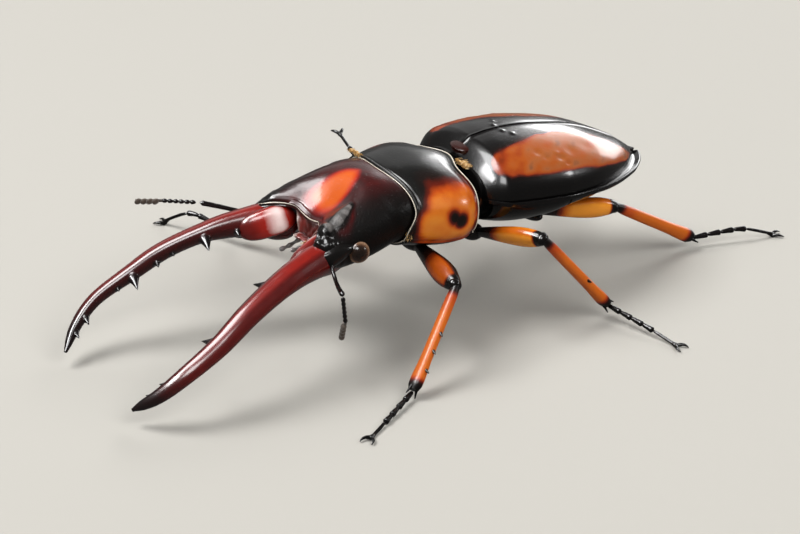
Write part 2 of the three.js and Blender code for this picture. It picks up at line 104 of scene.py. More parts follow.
# The lens and the distance give the mild perspective of a close view.
AIM = Vector((0.00407, -0.00472, 0.005))
SEEN_FROM = toward(57, 27)
CAMERA_DISTANCE = 0.4
camera = bpy.data.objects.new("camera", bpy.data.cameras.new("camera"))
camera.data.sensor_width = 36
camera.data.lens = 137.7
camera.data.clip_start = 0.01
camera.location = AIM + CAMERA_DISTANCE * SEEN_FROM
camera.rotation_euler = SEEN_FROM.to_track_quat("Z", "Y").to_euler()
bpy.context.collection.objects.link(camera)
bpy.context.scene.camera = camera

# Soft lamps that light the model, and bright cards that only show as reflections in its polish. All of
# them face the middle of the table from the same distance, in metres. Name, azimuth, elevation, width,
# height, power in watts, and whether it is such a card.
LAMP_DISTANCE = 0.6
SOFTBOXES = [
    ("lamp_key", 315, 60, 0.30, 0.30, 4.0, False),
    ("lamp_fill", 100, 46, 0.42, 0.34, 2.7, False),
    ("lamp_back", 205, 35, 0.30, 0.20, 1.4, False),
    ("card_behind", 202, 11, 0.30, 0.17, 0.9, True),
    ("card_corner", 222, 14, 0.12, 0.10, 0.3, True),
    ("card_veil", 210, 20, 0.42, 0.26, 0.4, True),
    ("card_sky", 243, 24, 0.62, 0.34, 0.24, True),
    ("card_high", 317, 62, 0.28, 0.28, 4.0, True),
    ("card_front", 341, 46, 0.30, 0.13, 4.2, True),
    ("card_ahead", 42, 55, 0.24, 0.19, 1.9, True),
    ("card_side", 148, 24, 0.08, 0.08, 0.45, True),
]
for name, azimuth, elevation, width, height, power, card in SOFTBOXES:
    lamp = bpy.data.objects.new(name, bpy.data.lights.new(name, "AREA"))
    lamp.data.shape = "RECTANGLE"
    lamp.data.size, lamp.data.size_y = width, height
    lamp.data.energy = power
    lamp.visible_glossy = card
    lamp.visible_diffuse = not card
    way = toward(azimuth, elevation)
    lamp.location = LAMP_DISTANCE * way
    lamp.rotation_euler = way.to_track_quat("Z", "Y").to_euler()
    bpy.context.collection.objects.link(lamp)

# The room itself gives a weak, nearly white light from all round.
world = bpy.data.worlds.new("studio")
world.use_nodes = True
world.node_tree.nodes["Background"].inputs["Color"].default_value = linear("#e6e4e0")
world.node_tree.nodes["Background"].inputs["Strength"].default_value = 0.14
bpy.context.scene.world = world
bpy.context.scene.view_settings.view_transform = "Standard"

# The table is a sheet of decorative laminate, pressed and left matt: it shows soft shadows and no gleam,
# and it does not show in the model's polish.
table_top = bpy.data.meshes.new("table_top")
table_top.from_pydata([(-2, -2, 0), (2, -2, 0), (2, 2, 0), (-2, 2, 0)], [], [(0, 1, 2, 3)])
floor = bpy.data.objects.new("floor", table_top)
bpy.context.collection.objects.link(floor)
laminate = bpy.data.materials.new("pale matt laminate")
laminate.use_nodes = True
paint = laminate.node_tree.nodes["Principled BSDF"]
paint.inputs["Base Color"].default_value = linear("#a9a69f")
paint.inputs["Roughness"].default_value = 0.85
table_top.materials.append(laminate)
floor.visible_glossy = False

# ---------------------------------------------------------------- wing cases
# The hardened fore wings: two thin polished domes of black chitin that meet along the back, each with a
# soft-edged orange-brown patch and a flat margin that ends in a raised bead and is widest at the tip.
MM = 0.001


def turned(degrees, axis=0):
    """The turn about an axis: 0 is sideways, 1 lengthways, 2 upright."""
    c, s = np.cos(radians(degrees)), np.sin(radians(degrees))
    i, j = (axis + 1) % 3, (axis + 2) % 3
    turn = np.eye(3)
    turn[[i, j], [i, j]] = c
    turn[i, j] = -s
    turn[j, i] = s
    return turn


# The trunk is pitched nose-up; the head is bowed about the neck. Both frames are in millimetres, and the
# eyes say where the trunk stands.
TRUNK_TURN = turned(-7)
HEAD_TURN = turned(20)
NECK = np.array([0, -13.0, -1.0])
EYE_AT = np.array([7.9, -6.3, -1.3])
eye_boxes = np.array([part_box("eye_left"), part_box("eye_right")]) / MM
TRUNK_AT = eye_boxes.mean((0, 1)) - TRUNK_TURN @ (NECK + HEAD_TURN @ (EYE_AT * [0, 1, 1]))


def on_trunk(points):
    """Points of the trunk's frame, set where the trunk stands."""
    return points @ TRUNK_TURN.T + TRUNK_AT


def through(knots, s):
    """Values at s of a smooth curve through the knots: in each span a cubic whose slope at a knot is that
    of the chord between its neighbours. The first column is the place along, the others are values."""
    knots = np.asarray(knots, float)
    at, value = knots[:, 0], knots[:, 1:]
    before, after = np.clip(np.arange(len(at)) + [[-1], [1]], 0, len(at) - 1)
    slope = (value[after] - value[before]) / (at[after] - at[before])[:, None]
    s = np.asarray(s, float)
    i = np.clip(np.searchsorted(at, s, side="right") - 1, 0, len(at) - 2)
    span = (at[i + 1] - at[i])[..., None]
    t = np.clip((s - at[i])[..., None] / span, 0, 1)
    curve = (2 * t**3 - 3 * t**2 + 1) * value[i] + (3 * t**2 - 2 * t**3) * value[i + 1]
    curve += (t**3 - 2 * t**2 + t) * span * slope[i] + (t**3 - t**2) * span * slope[i + 1]
    return curve[..., 0] if curve.shape[-1] == 1 else curve


def smooth(t):
    """0 below 0, 1 above 1 and an even S between."""
    t = np.clip(t, 0, 1)
    return t * t * (3 - 2 * t)


def waves(points, size, seed):
    """Even, rounded lumps about size across: a sum of sine waves in many directions."""
    rng = np.random.default_rng(seed)
    total = 0
    for _ in range(9):
        way = rng.normal(size=3)
        way *= 2 * np.pi / size / np.linalg.norm(way) * rng.uniform(0.7, 1.5)
        total = total + np.sin(points @ way + rng.uniform(0, 6))
    return total / 3


def skin(grid, tone=0.0, grit=0.0):
    """A closed surface from a grid of points: its rows follow each other along the piece, its columns run
    round it and meet, and each end is drawn in to the middle of its last row. Tone is the colour's place
    on the material's scale, grit how granular and dull the skin is and, where it is high, how far its
    colour is painted grey as sheen."""
    rows, columns = grid.shape[:2]
    points = np.vstack([grid.reshape(-1, 3), grid[0].mean(0), grid[-1].mean(0)])
    looks = np.stack([np.broadcast_to(v, (rows, columns)) for v in (tone, grit)], -1)
    looks = np.vstack([looks.reshape(-1, 2), looks[0].mean(0), looks[-1].mean(0)])
    r, c = np.meshgrid(np.arange(rows - 1) * columns, np.arange(columns), indexing="ij")
    d = (c + 1) % columns
    quads = np.stack([r + c, r + d, r + d + columns, r + c + columns], -1).reshape(-1, 4)
    c, d, last = np.arange(columns), (np.arange(columns) + 1) % columns, (rows - 1) * columns
    ends = [[d, c, c * 0 + rows * columns], [c + last, d + last, c * 0 + rows * columns + 1]]
    return points, quads, np.concatenate([np.stack(end, -1) for end in ends]), looks


def piece(name, skins, material, nodes, patches=None):
    """One object from closed surfaces in millimetres, each turned to face outwards. It stands for the
    nodes named. Patches give a piece of hair its map, one place for each point."""
    points, loops, starts, looks, count, corners = [], [], [], [], 0, 0
    for p, quads, triangles, look in skins:
        fans = np.vstack([triangles, quads[:, [0, 1, 2]], quads[:, [0, 2, 3]]])
        volume = np.einsum("ij,ij->", p[fans[:, 0]], np.cross(p[fans[:, 1]], p[fans[:, 2]]))
        for faces in (quads, triangles):
            if volume < 0:
                faces = faces[:, ::-1]
            loops.append((faces + count).ravel())
            starts.append(corners + np.arange(len(faces)) * faces.shape[1])
            corners += faces.size
        points.append(p)
        looks.append(look)
        count += len(p)
    loops, starts = np.concatenate(loops), np.concatenate(starts)
    mesh = bpy.data.meshes.new(name)
    mesh.vertices.add(count)
    mesh.vertices.foreach_set("co", (np.vstack(points) * MM).astype(np.float32).ravel())
    mesh.loops.add(len(loops))
    mesh.loops.foreach_set("vertex_index", loops.astype(np.int32))
    mesh.polygons.add(len(starts))
    mesh.polygons.foreach_set("loop_start", starts.astype(np.int32))
    mesh.update(calc_edges=True)
    for column, attribute in enumerate(("tone", "grit")):
        values = np.vstack(looks)[:, column].astype(np.float32)
        mesh.attributes.new(attribute, "FLOAT", "POINT").data.foreach_set("value", values)
    if patches is not None:
        mesh.uv_layers.new(name="OFBake").data.foreach_set("uv", patches[loops].astype(np.float32).ravel())
    mesh.shade_smooth()
    mesh.set_sharp_from_angle(angle=radians(50))
    mesh.materials.append(material)
    thing = bpy.data.objects.new(name, mesh)
    bpy.context.collection.objects.link(thing)
    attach(thing, "root")
    if nodes:
        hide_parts(*nodes)
    return thing


def chitin(
    name,
    stops,
    mottle=0.05,
    roughness=0.3,
    shine=0.35,
    coat=0.5,
    gloss=0.08,
    pore=0.4,
    pit=0.015,
    granule=0.0,
    sheen=0.0,
):
    """Beetle cuticle: hard layered chitin whose colour runs along a scale of tones and is mottled a little,
    under a clear waxy top layer of a given gloss. Its fine round pores are pore apart and pit deep. Where
    the skin is gritty it is matt, and its colour is mixed with a light grey that is a painted sheen of the
    granules, which are low, a quarter of a millimetre across and granule high. All sizes are in millimetres."""
    material = bpy.data.materials.new(name)
    material.use_nodes = True
    tree = material.node_tree
    shell = tree.nodes["Principled BSDF"]
    shell.inputs["Roughness"].default_value = roughness
    shell.inputs["IOR"].default_value = 1.45
    shell.inputs["Specular IOR Level"].default_value = shine
    shell.inputs["Coat Weight"].default_value = coat
    shell.inputs["Coat Roughness"].default_value = gloss
    shell.inputs["Coat IOR"].default_value = 1.45
    shell.inputs["Sheen Weight"].default_value = sheen

    place = add(tree, "ShaderNodeTexCoord").outputs["Object"]
    tone = add(tree, "ShaderNodeAttribute", attribute_name="tone").outputs["Fac"]
    cloud = add(tree, "ShaderNodeTexNoise", {"Vector": place, "Scale": 1 / (1.1 * MM), "Detail": 6.0})
    about = {0: cloud.outputs["Fac"], 1: mottle * 2, 2: -mottle}
    swing = add(tree, "ShaderNodeMath", about, operation="MULTIPLY_ADD")
    level = add(tree, "ShaderNodeMath", {0: tone, 1: swing.outputs[0]}, operation="ADD")
    tint = add(tree, "ShaderNodeValToRGB", {"Fac": level.outputs[0]}, stops=stops).outputs["Color"]
    pores = add(tree, "ShaderNodeTexVoronoi", {"Vector": place, "Scale": 1 / (pore * MM)})
    bowl = {"Value": pores.outputs["Distance"], "From Min": 0.08, "From Max": 0.3}
    dimple = add(tree, "ShaderNodeMapRange", bowl, interpolation_type="SMOOTHSTEP")
    dents = {"Height": dimple.outputs[0], "Distance": pit * MM, "Strength": 1.0}
    relief = add(tree, "ShaderNodeBump", dents).outputs[0]

    if granule:
        gritty = add(tree, "ShaderNodeAttribute", attribute_name="grit").outputs["Fac"]
        # Painted sheen: where the skin is gritty its colour is mixed towards a light grey that stands in for
        # the sheen of the granules.
        painted_sheen_share = add(tree, "ShaderNodeMapRange", {"Value": gritty, "From Min": 0.6, "To Max": 0.85})
        # Sockets 6 and 7 of the Mix node, and its output 2, are its colours.
        painted_sheen_mix = {0: painted_sheen_share.outputs[0], 6: tint, 7: linear("#6e6a68")}
        tint = add(tree, "ShaderNodeMix", painted_sheen_mix, data_type="RGBA").outputs[2]
        size = {"Vector": place, "Scale": 1 / (0.27 * MM), "Randomness": 0.8}
        grains = add(tree, "ShaderNodeTexVoronoi", size)
        both = {0: grains.outputs["Distance"], 1: gritty}
        height = add(tree, "ShaderNodeMath", both, operation="MULTIPLY").outputs[0]
        granules = {"Height": height, "Distance": granule * MM, "Normal": relief}
        relief = add(tree, "ShaderNodeBump", granules, invert=True).outputs[0]
        dull = add(tree, "ShaderNodeMapRange", {"Value": gritty, "To Min": roughness, "To Max": 0.5})
        tree.links.new(dull.outputs[0], shell.inputs["Roughness"])
        bare = {"Value": gritty, "From Max": 0.5, "To Min": coat, "To Max": 0.02 * coat}
        wax = add(tree, "ShaderNodeMapRange", bare)
        tree.links.new(wax.outputs[0], shell.inputs["Coat Weight"])

    fine = add(tree, "ShaderNodeTexNoise", {"Vector": place, "Scale": 1 / (0.12 * MM), "Detail": 3.0})
    grain = {"Height": fine.outputs["Fac"], "Distance": 0.004 * MM, "Normal": relief}
    tree.links.new(add(tree, "ShaderNodeBump", grain).outputs[0], shell.inputs["Normal"])
    tree.links.new(tint, shell.inputs["Base Color"])
    return material


WING_LENGTH = 30.3
# Share of the length, half width with the margin, height over the margin.
WING_OUTLINE = [
    (0, 9.8, 4.9),
    (0.03, 10.3, 5.2),
    (0.086, 10.7, 5.6),
    (0.165, 10.95, 6.05),
    (0.28, 11.1, 6.3),
    (0.42, 10.95, 6.15),
    (0.63, 9.5, 5.3),
    (0.84, 6.1, 3.2),
    (0.94, 3.4, 1.6),
    (0.985, 1.5, 0.7),
    (1, 0.5, 0.35),
]
# The power of the cross section's superellipse: 2 is an ellipse, more is squarer.
WING_BULGE = 2.25
# How far back the front edge's roll begins, and the share of the height that it takes away.
ROLL_LENGTH = 2.4
ROLL_DROP = 1.8 / 4.9
# The margin's section: share of its width outwards, height.
WING_MARGIN = [
    (0, 0.0, 0.14),
    (0.2, 0.14, 0.0),
    (0.4, 0.42, -0.04),
    (0.6, 0.68, 0.16),
    (0.75, 0.86, 0.3),
    (0.9, 1.0, 0.1),
    (1, 0.9, -0.3),
]
# The patch: share of the length, middle and half width as shares of the way from seam to margin.
WING_PATCH = [
    (0.04, 0.5, 0.0),
    (0.048, 0.49, 0.1),
    (0.07, 0.48, 0.17),
    (0.1, 0.48, 0.2),
    (0.2, 0.475, 0.225),
    (0.32, 0.445, 0.26),
    (0.48, 0.42, 0.29),
    (0.65, 0.46, 0.29),
    (0.78, 0.54, 0.24),
    (0.86, 0.62, 0.17),
    (0.92, 0.68, 0.0),
]
WING_TONES = [
    (0, "#070606"),
    (0.3, "#120806"),
    (0.48, "#4a1407"),
    (0.62, "#8c330f"),
    (0.78, "#9c4a17"),
    (0.9, "#97542a"),
    (1, "#6e4530"),
]
# Shallow dents in the patch with one bump among them, and two small blisters by the seam: place along the
# trunk, share of the way from seam to margin, radius, depth. What stands up has a depth below zero.
WING_DENTS = [
    (4.5, 0.5, 0.5, 0.05),
    (8.2, 0.42, 0.6, 0.17),
    (8.9, 0.5, 0.45, 0.13),
    (10.9, 0.46, 0.45, -0.1),
    (11.3, 0.52, 0.6, 0.22),
    (12.0, 0.6, 0.4, 0.17),
    (13.4, 0.45, 0.8, 0.08),
    (16.5, 0.4, 0.9, 0.06),
    (6.4, 0.04, 0.3, -0.13),
    (7.2, 0.11, 0.3, -0.11),
]


def wing_case():
    """The left wing case: each row is a superellipse quarter from the seam to the side, then the grooved
    and beaded margin, then the flat underside. A fine groove and ridge follow the seam, dents are pressed
    in, and the front rows roll down and draw in. Gives the grid and the tone, high inside the patch."""
    columns = 84
    u = np.linspace(0, 1, 190)
    s = u - 0.154 * np.sin(2 * np.pi * u) / np.pi
    half, height = through(WING_OUTLINE, s).T
    s, half = s[:, None], half[:, None]
    height = np.maximum(0.14, height)[:, None]
    dome = np.maximum(0.25, half - 0.45 - 0.55 * s**3)
    angle = np.linspace(0, 1, columns)[None]
    x = 0.15 + (dome - 0.15) * np.sin(angle * np.pi / 2) ** (2 / WING_BULGE)
    z = 0.14 + (height - 0.14) * np.cos(angle * np.pi / 2) ** (2 / WING_BULGE)
    y = s * (WING_LENGTH - 1)
    seam = 0.05 * np.exp(-(((x - 0.55) / 0.14) ** 2)) - 0.08 * np.exp(-(((x - 0.2) / 0.12) ** 2))
    z = z - seam * smooth(height)
    for along, across, radius, depth in WING_DENTS:
        far = (y - along) ** 2 + ((angle - across) * 15) ** 2
        z = z - depth * np.exp(-far / radius**2)
    out, level = through(WING_MARGIN, np.linspace(0, 1, 26)).T
    margin_x = dome + (half - dome) * out
    under = np.linspace(1, 0, 7)[None]
    under_x = 0.15 + (margin_x[:, -1:] - 0.15) * under * 0.98
    parts_y = [np.broadcast_to(y, x.shape), y + s * out, y + s * 0.9 * under]
    parts_z = [z, np.broadcast_to(level, margin_x.shape), np.broadcast_to(-0.35, under_x.shape)]
    grid = np.stack([np.concatenate(parts, 1) for parts in ([x, margin_x, under_x], parts_y, parts_z)], -1)
    fall = (1 - y / ROLL_LENGTH).clip(0, 1) ** 1.7
    grid[..., 0] = 0.15 + (grid[..., 0] - 0.15) * (1 - 0.15 * fall)
    grid[..., 2] *= np.where(grid[..., 2] > 0, 1 - ROLL_DROP * fall, 1)

    middle, width = np.moveaxis(through(WING_PATCH, s), -1, 0)
    inside = (width - np.abs(angle - middle)) * 15
    cloud = waves(grid[:, :columns], 2.2, 8)
    patch = smooth(0.5 + (inside + 0.06 * cloud) / 2.2)
    tone = patch * (0.62 + 0.24 * smooth((s - 0.05) / 0.22) + 0.06 * cloud)
    tone = tone * (1 - 0.16 * smooth((s - 0.5) / 0.3) * smooth((0.6 - angle) / 0.3))
    return grid, np.pad(tone, [(0, 0), (0, grid.shape[1] - columns)])


# Polished, waxy cuticle: crisp reflections on the black, and a mottled patch with faint pores.
wing_cuticle = chitin(
    "polished elytral chitin", WING_TONES, mottle=0.1, roughness=0.26, gloss=0.11, pore=0.55, pit=0.008
)
case, case_tone = wing_case()
for side, mirror in (("left", 1), ("right", -1)):
    shape = skin(on_trunk(case * [mirror, 1, 1]), case_tone)
    piece("elytron_" + side, [shape], wing_cuticle, ["wing_case_" + side])

# ---------------------------------------------------------------- scutellum
# The small heart-shaped shield of the middle body, which shows between the front corners of the wing
# cases: solid glossy black chitin with a blunt point at the back.
SCUTELLUM_HALF = 2.2
SCUTELLUM_LENGTH = 3.3
# Rings from underneath up to the crown: share of the outline's size, height.
SCUTELLUM_RINGS = [
    (0.5, 0),
    (0.93, 0),
    (1.0, 0.3),
    (0.97, 0.75),
    (0.85, 0.85),
    (0.65, 0.9),
    (0.4, 0.93),
    (0.15, 0.95),
]
# Hard black cuticle, polished: it shows lamps as small bright gleams, and is faintly brown where thin.
BLACK_TONES = [(0, "#070606"), (0.5, "#140a08"), (1, "#3f1109")]
black_cuticle = chitin("glossy black chitin", BLACK_TONES, roughness=0.25)


def scutellum():
    """Rings from the rim to the crown: the outline is a heart drawn to a point at the back, and the top
    swells as a shallow dome."""
    t = np.linspace(0, 2 * np.pi, 96, endpoint=False)
    x = SCUTELLUM_HALF * np.sin(t) * (0.78 + 0.3 * np.cos(t))
    y = SCUTELLUM_LENGTH * (0.42 - 0.42 * np.cos(t) + 0.16 * ((1 - np.cos(t)) / 2) ** 4) - 0.1
    size, level = np.array(SCUTELLUM_RINGS).T[..., None]
    middle = SCUTELLUM_LENGTH * 0.42
    grid = np.stack([x * size, middle + (y - middle) * size, np.broadcast_to(level, (8, 96))], -1)
    return grid @ turned(12).T + [0, 0.1, 3.45]


piece("scutellum_shield", [skin(on_trunk(scutellum()), 0.75)], black_cuticle, ["scutellum"])

# ---------------------------------------------------------------- thorax and abdomen
# The underside of the trunk: the collar and the broad hind breast that carry the legs, and behind them
# five belly plates that overlap like tiles, all of glossy black chitin.

# Share of the length, depth under the wing cases' margin.
BELLY_DEPTH = [(0, 4.6), (0.15, 5.2), (0.33, 4.9), (0.45, 3.9), (0.7, 3.1), (1, 0.9)]
# Where along the trunk the hind breast ends and the belly begins.
WAIST = 12.6
BELLY_PLATES = 5


def raised(v, p):
    """A number to a power, with its sign kept."""
    return np.sign(v) * np.abs(v) ** p


def belly(first, last, rows, plates=0):
    """The lower half of a superellipse section with the wing cases' outline, inset, from one place to
    another along the trunk. Each plate gets shallower towards its tail, where the next one steps down again,
    and without plates a shallow groove runs along the middle."""
    y = np.linspace(first, last, rows)
    s = np.clip((y - 0.8) / (WING_LENGTH - 2.6), 0, 1)
    half = np.maximum(0.3, through(WING_OUTLINE, s)[:, 0] - (0.45 + 0.55 * s**3) - 0.9)[:, None]
    depth = through(BELLY_DEPTH, s)[:, None] - 0.1
    if plates:
        share = (y - first) / (last - first) * plates
        depth = depth - 0.16 * (share % 1)[:, None] ** 3
    angle = np.linspace(0, np.pi, 90)[None]
    x = half * raised(np.cos(angle), 2 / WING_BULGE)
    z = -0.68 - (depth - 0.68) * np.abs(np.sin(angle)) ** (2 / WING_BULGE)
    if not plates:
        z = z + 0.12 * np.exp(-((x / 0.5) ** 2))
    top = np.linspace(-1, 1, 12)[None, 1:-1]
    x = np.concatenate([x, half * top], 1)
    z = np.concatenate([z, np.broadcast_to(-0.68, (rows, 10))], 1)
    return np.stack([x, np.broadcast_to(y[:, None], x.shape), z], -1)


def ring_row(y, half, top, bottom, level=0.0, bulge=2.3, columns=80):
    """Rows of a superellipse section: half wide, rising by top and falling by bottom from a level."""
    turn = np.linspace(0, 2 * np.pi, columns, endpoint=False)[None]
    y, half, top, bottom = (np.asarray(v, float).reshape(-1, 1) for v in (y, half, top, bottom))
    x = half * raised(np.sin(turn), 2 / bulge)
    z = level + np.where(np.cos(turn) > 0, top, bottom) * raised(np.cos(turn), 2 / bulge)
    return np.stack([x, np.broadcast_to(y, x.shape), z], -1)


collar = ring_row([-0.4, -0.3, 0.6, 1.5], [6.6, 7.1, 7.2, 6.9], [2.8, 3.3, 3.4, 3.2], [3.8, 4.3, 4.5, 4.2])
breast = [belly(0.85, WAIST - 0.05, 60), collar]
piece("breast_plates", [skin(on_trunk(g)) for g in breast], black_cuticle, ["thorax"])
plates = skin(on_trunk(belly(WAIST + 0.25, 28.4, 160, BELLY_PLATES)))
piece("belly_plates", [plates], black_cuticle, ["abdomen"])

# ---------------------------------------------------------------- pronotum
# The shield over the front body: one glossy black dome of chitin with a raised bead along its front, side
# and hind margins, and on each side a large soft-edged orange patch round a small black spot.
PRONOTUM_LENGTH = 11.3
PRONOTUM_BACK = -0.9
PRONOTUM_LEVEL = -1.8
# Share of the length from the front, half width, height over the level, depth below it.
PRONOTUM_OUTLINE = [
    (0, 8.8, 4.95, 4.3),
    (0.2, 9.6, 5.5, 4.6),
    (0.5, 10.3, 5.98, 4.9),
    (0.75, 10.2, 5.85, 4.9),
    (0.9, 9.5, 5.5, 4.7),
    (1, 8.7, 5.1, 4.3),
]
PRONOTUM_TONES = [
    (0, "#070706"),
    (0.28, "#150906"),
    (0.5, "#5a1505"),
    (0.68, "#ad430b"),
    (0.85, "#c96a18"),
    (1, "#cf7a26"),
]


def least(*distances):
    """The least of several distances in millimetres, with the corners between them rounded off."""
    return -np.log(sum(np.exp(-1.6 * np.asarray(d)) for d in distances)) / 1.6


def normals(grid):
    """Unit normals of a grid that closes round, pointing away from its middle."""
    wide = np.concatenate([grid[:, -1:], grid, grid[:, :1]], 1)
    across = wide[:, 2:] - wide[:, :-2]
    along = np.gradient(grid, axis=0)
    n = np.cross(along, across)
    n /= np.maximum(1e-9, np.linalg.norm(n, axis=-1, keepdims=True))
    outward = np.einsum("ijk,ijk->", n, grid - grid.mean(1, keepdims=True))
    return n if outward > 0 else -n


def bead(far, at, width, height):
    """A raised rounded line at a distance from an edge, with a fine groove on either side."""
    t = (far - at) / width
    return height * (np.exp(-t * t) - 0.45 * np.exp(-((np.abs(t) - 2.1) ** 2) * 1.5))


def pronotum():
    """A superellipse section carried from the front margin to the hind one. Its margins are waved, a bead
    follows them, and the end rows turn in to a socket for the head and to the collar. Gives the grid and
    the tone: high inside the side patches, low in the spot."""
    columns = 220
    u = np.linspace(0, 1, 150)
    s = u - 0.135 * np.sin(2 * np.pi * u) / np.pi
    grid = ring_row(s * 0, *through(PRONOTUM_OUTLINE, s).T, PRONOTUM_LEVEL, 2.35, columns)
    x, z = grid[..., 0], grid[..., 2]
    front = 1.1 * smooth(np.abs(x) / 9) * (1 - smooth((0.2 - z) / 3.2))
    hind = 0.5 * smooth((np.abs(x) - 4.5) / 3.5) - 1.2 * smooth(np.abs(x) / 4.2)
    s = s[:, None]
    y = PRONOTUM_BACK - PRONOTUM_LENGTH * (1 - s) + (1 - s) * front + s * hind
    grid[..., 1] = y
    edge = np.minimum(s, 1 - s) * (PRONOTUM_LENGTH - 1.5)
    turn = np.abs(np.linspace(0, 2, columns, endpoint=False)[None] - 1)
    side = (1 - turn - 0.655) * 26
    lift = bead(edge, 0.24, 0.16, 0.16) + bead(side, 0, 0.25, 0.14)
    pinch = 0.2 * smooth(1 - edge / 0.25) ** 2
    grid = grid + normals(grid) * (lift - pinch - 0.06)[..., None]

    patch = least(3.15 - z, y + 11.1 - 2.0 * smooth((z + 1.6) / 4.5), z + 4.5, (1 - s) * 11 - 0.35)
    patch = np.where(np.abs(x) > 4, patch, -9)
    upper, lower = np.hypot(y + 6.2, (z + 0.75) * 0.95) - 0.5, np.hypot(y + 5.2, z + 1.25) - 0.65
    off_spot = smooth((np.minimum(upper, lower) + 0.5) / 1.7)
    cloud = waves(grid, 2.4, 9)
    tone = smooth(0.48 + (patch + 0.06 * cloud) / 2.4) * (0.1 + 0.9 * off_spot)
    tone = tone * (0.8 + 0.14 * smooth((2.4 - z) / 3.5) + 0.05 * cloud)

    middle = grid.mean(1, keepdims=True)
    lip = [(0.985, 0.04), (0.972, 0.2), (0.962, 1.0), (0.95, 2.6), (0.4, 2.9)]
    rim = [middle[0] + (grid[0] - middle[0]) * k + [0, back, 0] for k, back in lip[::-1]]
    tail = [middle[-1] + (grid[-1] - middle[-1]) * k - [0, back, 0] for k, back in lip]
    return np.concatenate([rim, grid, tail]), np.pad(tone, [(len(lip), len(lip)), (0, 0)])


# The half thickness of the pale cords that paint the margins' highlights: the real edges are thinner than
# this, and would not show.
MARGIN_RADIUS = 0.072


def highlight_cord(row, way):
    """A thin pale cord, a painted highlight, along a margin's upper three quarters, laid on the outer edge
    of a row of the shield and drawn thin at both ends."""
    order = np.roll(np.arange(len(row)), len(row) // 2)[14:-14]
    outward = row[order] - row.mean(0)
    outward /= np.linalg.norm(outward, axis=1, keepdims=True)
    middle = row[order] + [0, way * 0.04, 0] + outward * 0.03
    t = np.linspace(0, 1, len(order))
    girth = MARGIN_RADIUS * np.clip(np.minimum(t, 1 - t) * 12, 0.3, 1)[:, None, None]
    turn = np.linspace(0, 2 * np.pi, 12, endpoint=False)[None, :, None]
    along_y = np.array([0, 1.0, 0])
    return middle[:, None] + girth * (np.cos(turn) * outward[:, None] + np.sin(turn) * along_y)


# Polished cuticle with fine pores: clear gleams, and a cloudy amber depth in the patches.
shield_cuticle = chitin(
    "polished pronotal chitin", PRONOTUM_TONES, mottle=0.08, roughness=0.3, gloss=0.16, pore=0.45, pit=0.012
)
shield, shield_tone = pronotum()
piece("pronotum_shield", [skin(on_trunk(shield), shield_tone)], shield_cuticle, ["pronotum"])
# Painted highlight: pale cords stand in for the nearly white gleam of the margins' polished beads.
HIGHLIGHT_CORD_TONES = [(0, "#8f7f66"), (1, "#f6efe0")]
highlight_cord_cuticle = chitin("pale cord painted as highlight", HIGHLIGHT_CORD_TONES, pit=0.0)
margins = [skin(on_trunk(highlight_cord(shield[6], -1)), 0.6), skin(on_trunk(highlight_cord(shield[-10], 1)), 0.6)]
piece("pronotum_margin_highlights", margins, highlight_cord_cuticle, [])

# ---------------------------------------------------------------- head
# The broad head capsule: dark red to black glossy chitin, hollowed over the mouth, with a red-orange patch
# on the brow, a matt granular ridge on each side and rough black front corners over the jaw joints.
HEAD_LENGTH = 12.2
HEAD_TUCK = 3.4
HEAD_LEVEL = -0.5
# Share of the length from the back, half width, height over the level, depth below it.
HEAD_OUTLINE = [
    (0, 6.6, 3.0, 3.4),
    (0.108, 7.8, 3.95, 4.0),
    (0.286, 8.3, 4.75, 4.3),
    (0.51, 8.7, 4.95, 4.3),
    (0.73, 8.75, 4.85, 3.8),
    (0.893, 8.7, 4.65, 3.0),
    (1, 8.5, 3.9, 2.2),
]
HEAD_TONES = [
    (0, "#0a0807"),
    (0.12, "#160706"),
    (0.3, "#330808"),
    (0.5, "#7a0f08"),
    (0.7, "#b32d06"),
    (1, "#ce5810"),
]
# The granular ridge on each side: place along, distance from the middle, half width, height.
HEAD_RIDGE = [
    (-12, 7.1, 1.2, 0.1),
    (-10.7, 6.8, 1.15, 0.2),
    (-9.6, 6.45, 1.1, 0.6),
    (-8.65, 6.3, 0.95, 0.3),
    (-7.5, 6.1, 1.15, 0.6),
    (-6.3, 5.7, 1.0, 0.55),
    (-5.3, 5.3, 0.65, 0.3),
    (-4.3, 4.9, 0.35, 0.0),
]
# Knobs and pits on the front corner: place, radius, height.
HEAD_KNOBS = [
    ((7.75, -10.8, 1.7), 0.6, 0.42),
    ((7.0, -11.7, 2.0), 0.6, 0.4),
    ((8.3, -10.0, 1.2), 0.6, 0.2),
    ((6.4, -10.8, 2.6), 0.45, -0.4),
    ((7.25, -9.85, 2.4), 0.42, -0.45),
    ((6.9, -8.75, 2.9), 0.35, -0.25),
    ((7.6, -8.6, 2.2), 0.5, 0.14),
]
# The patch: place along, half width.
HEAD_PATCH = [(-8.8, 3.7), (-7, 3.4), (-5, 3.1), (-3.3, 2.7), (-1.4, 1.8), (0.5, 0.3)]


def on_head(points):
    """Points of the head's frame, set where the head stands."""
    return on_trunk(points @ HEAD_TURN.T + NECK)


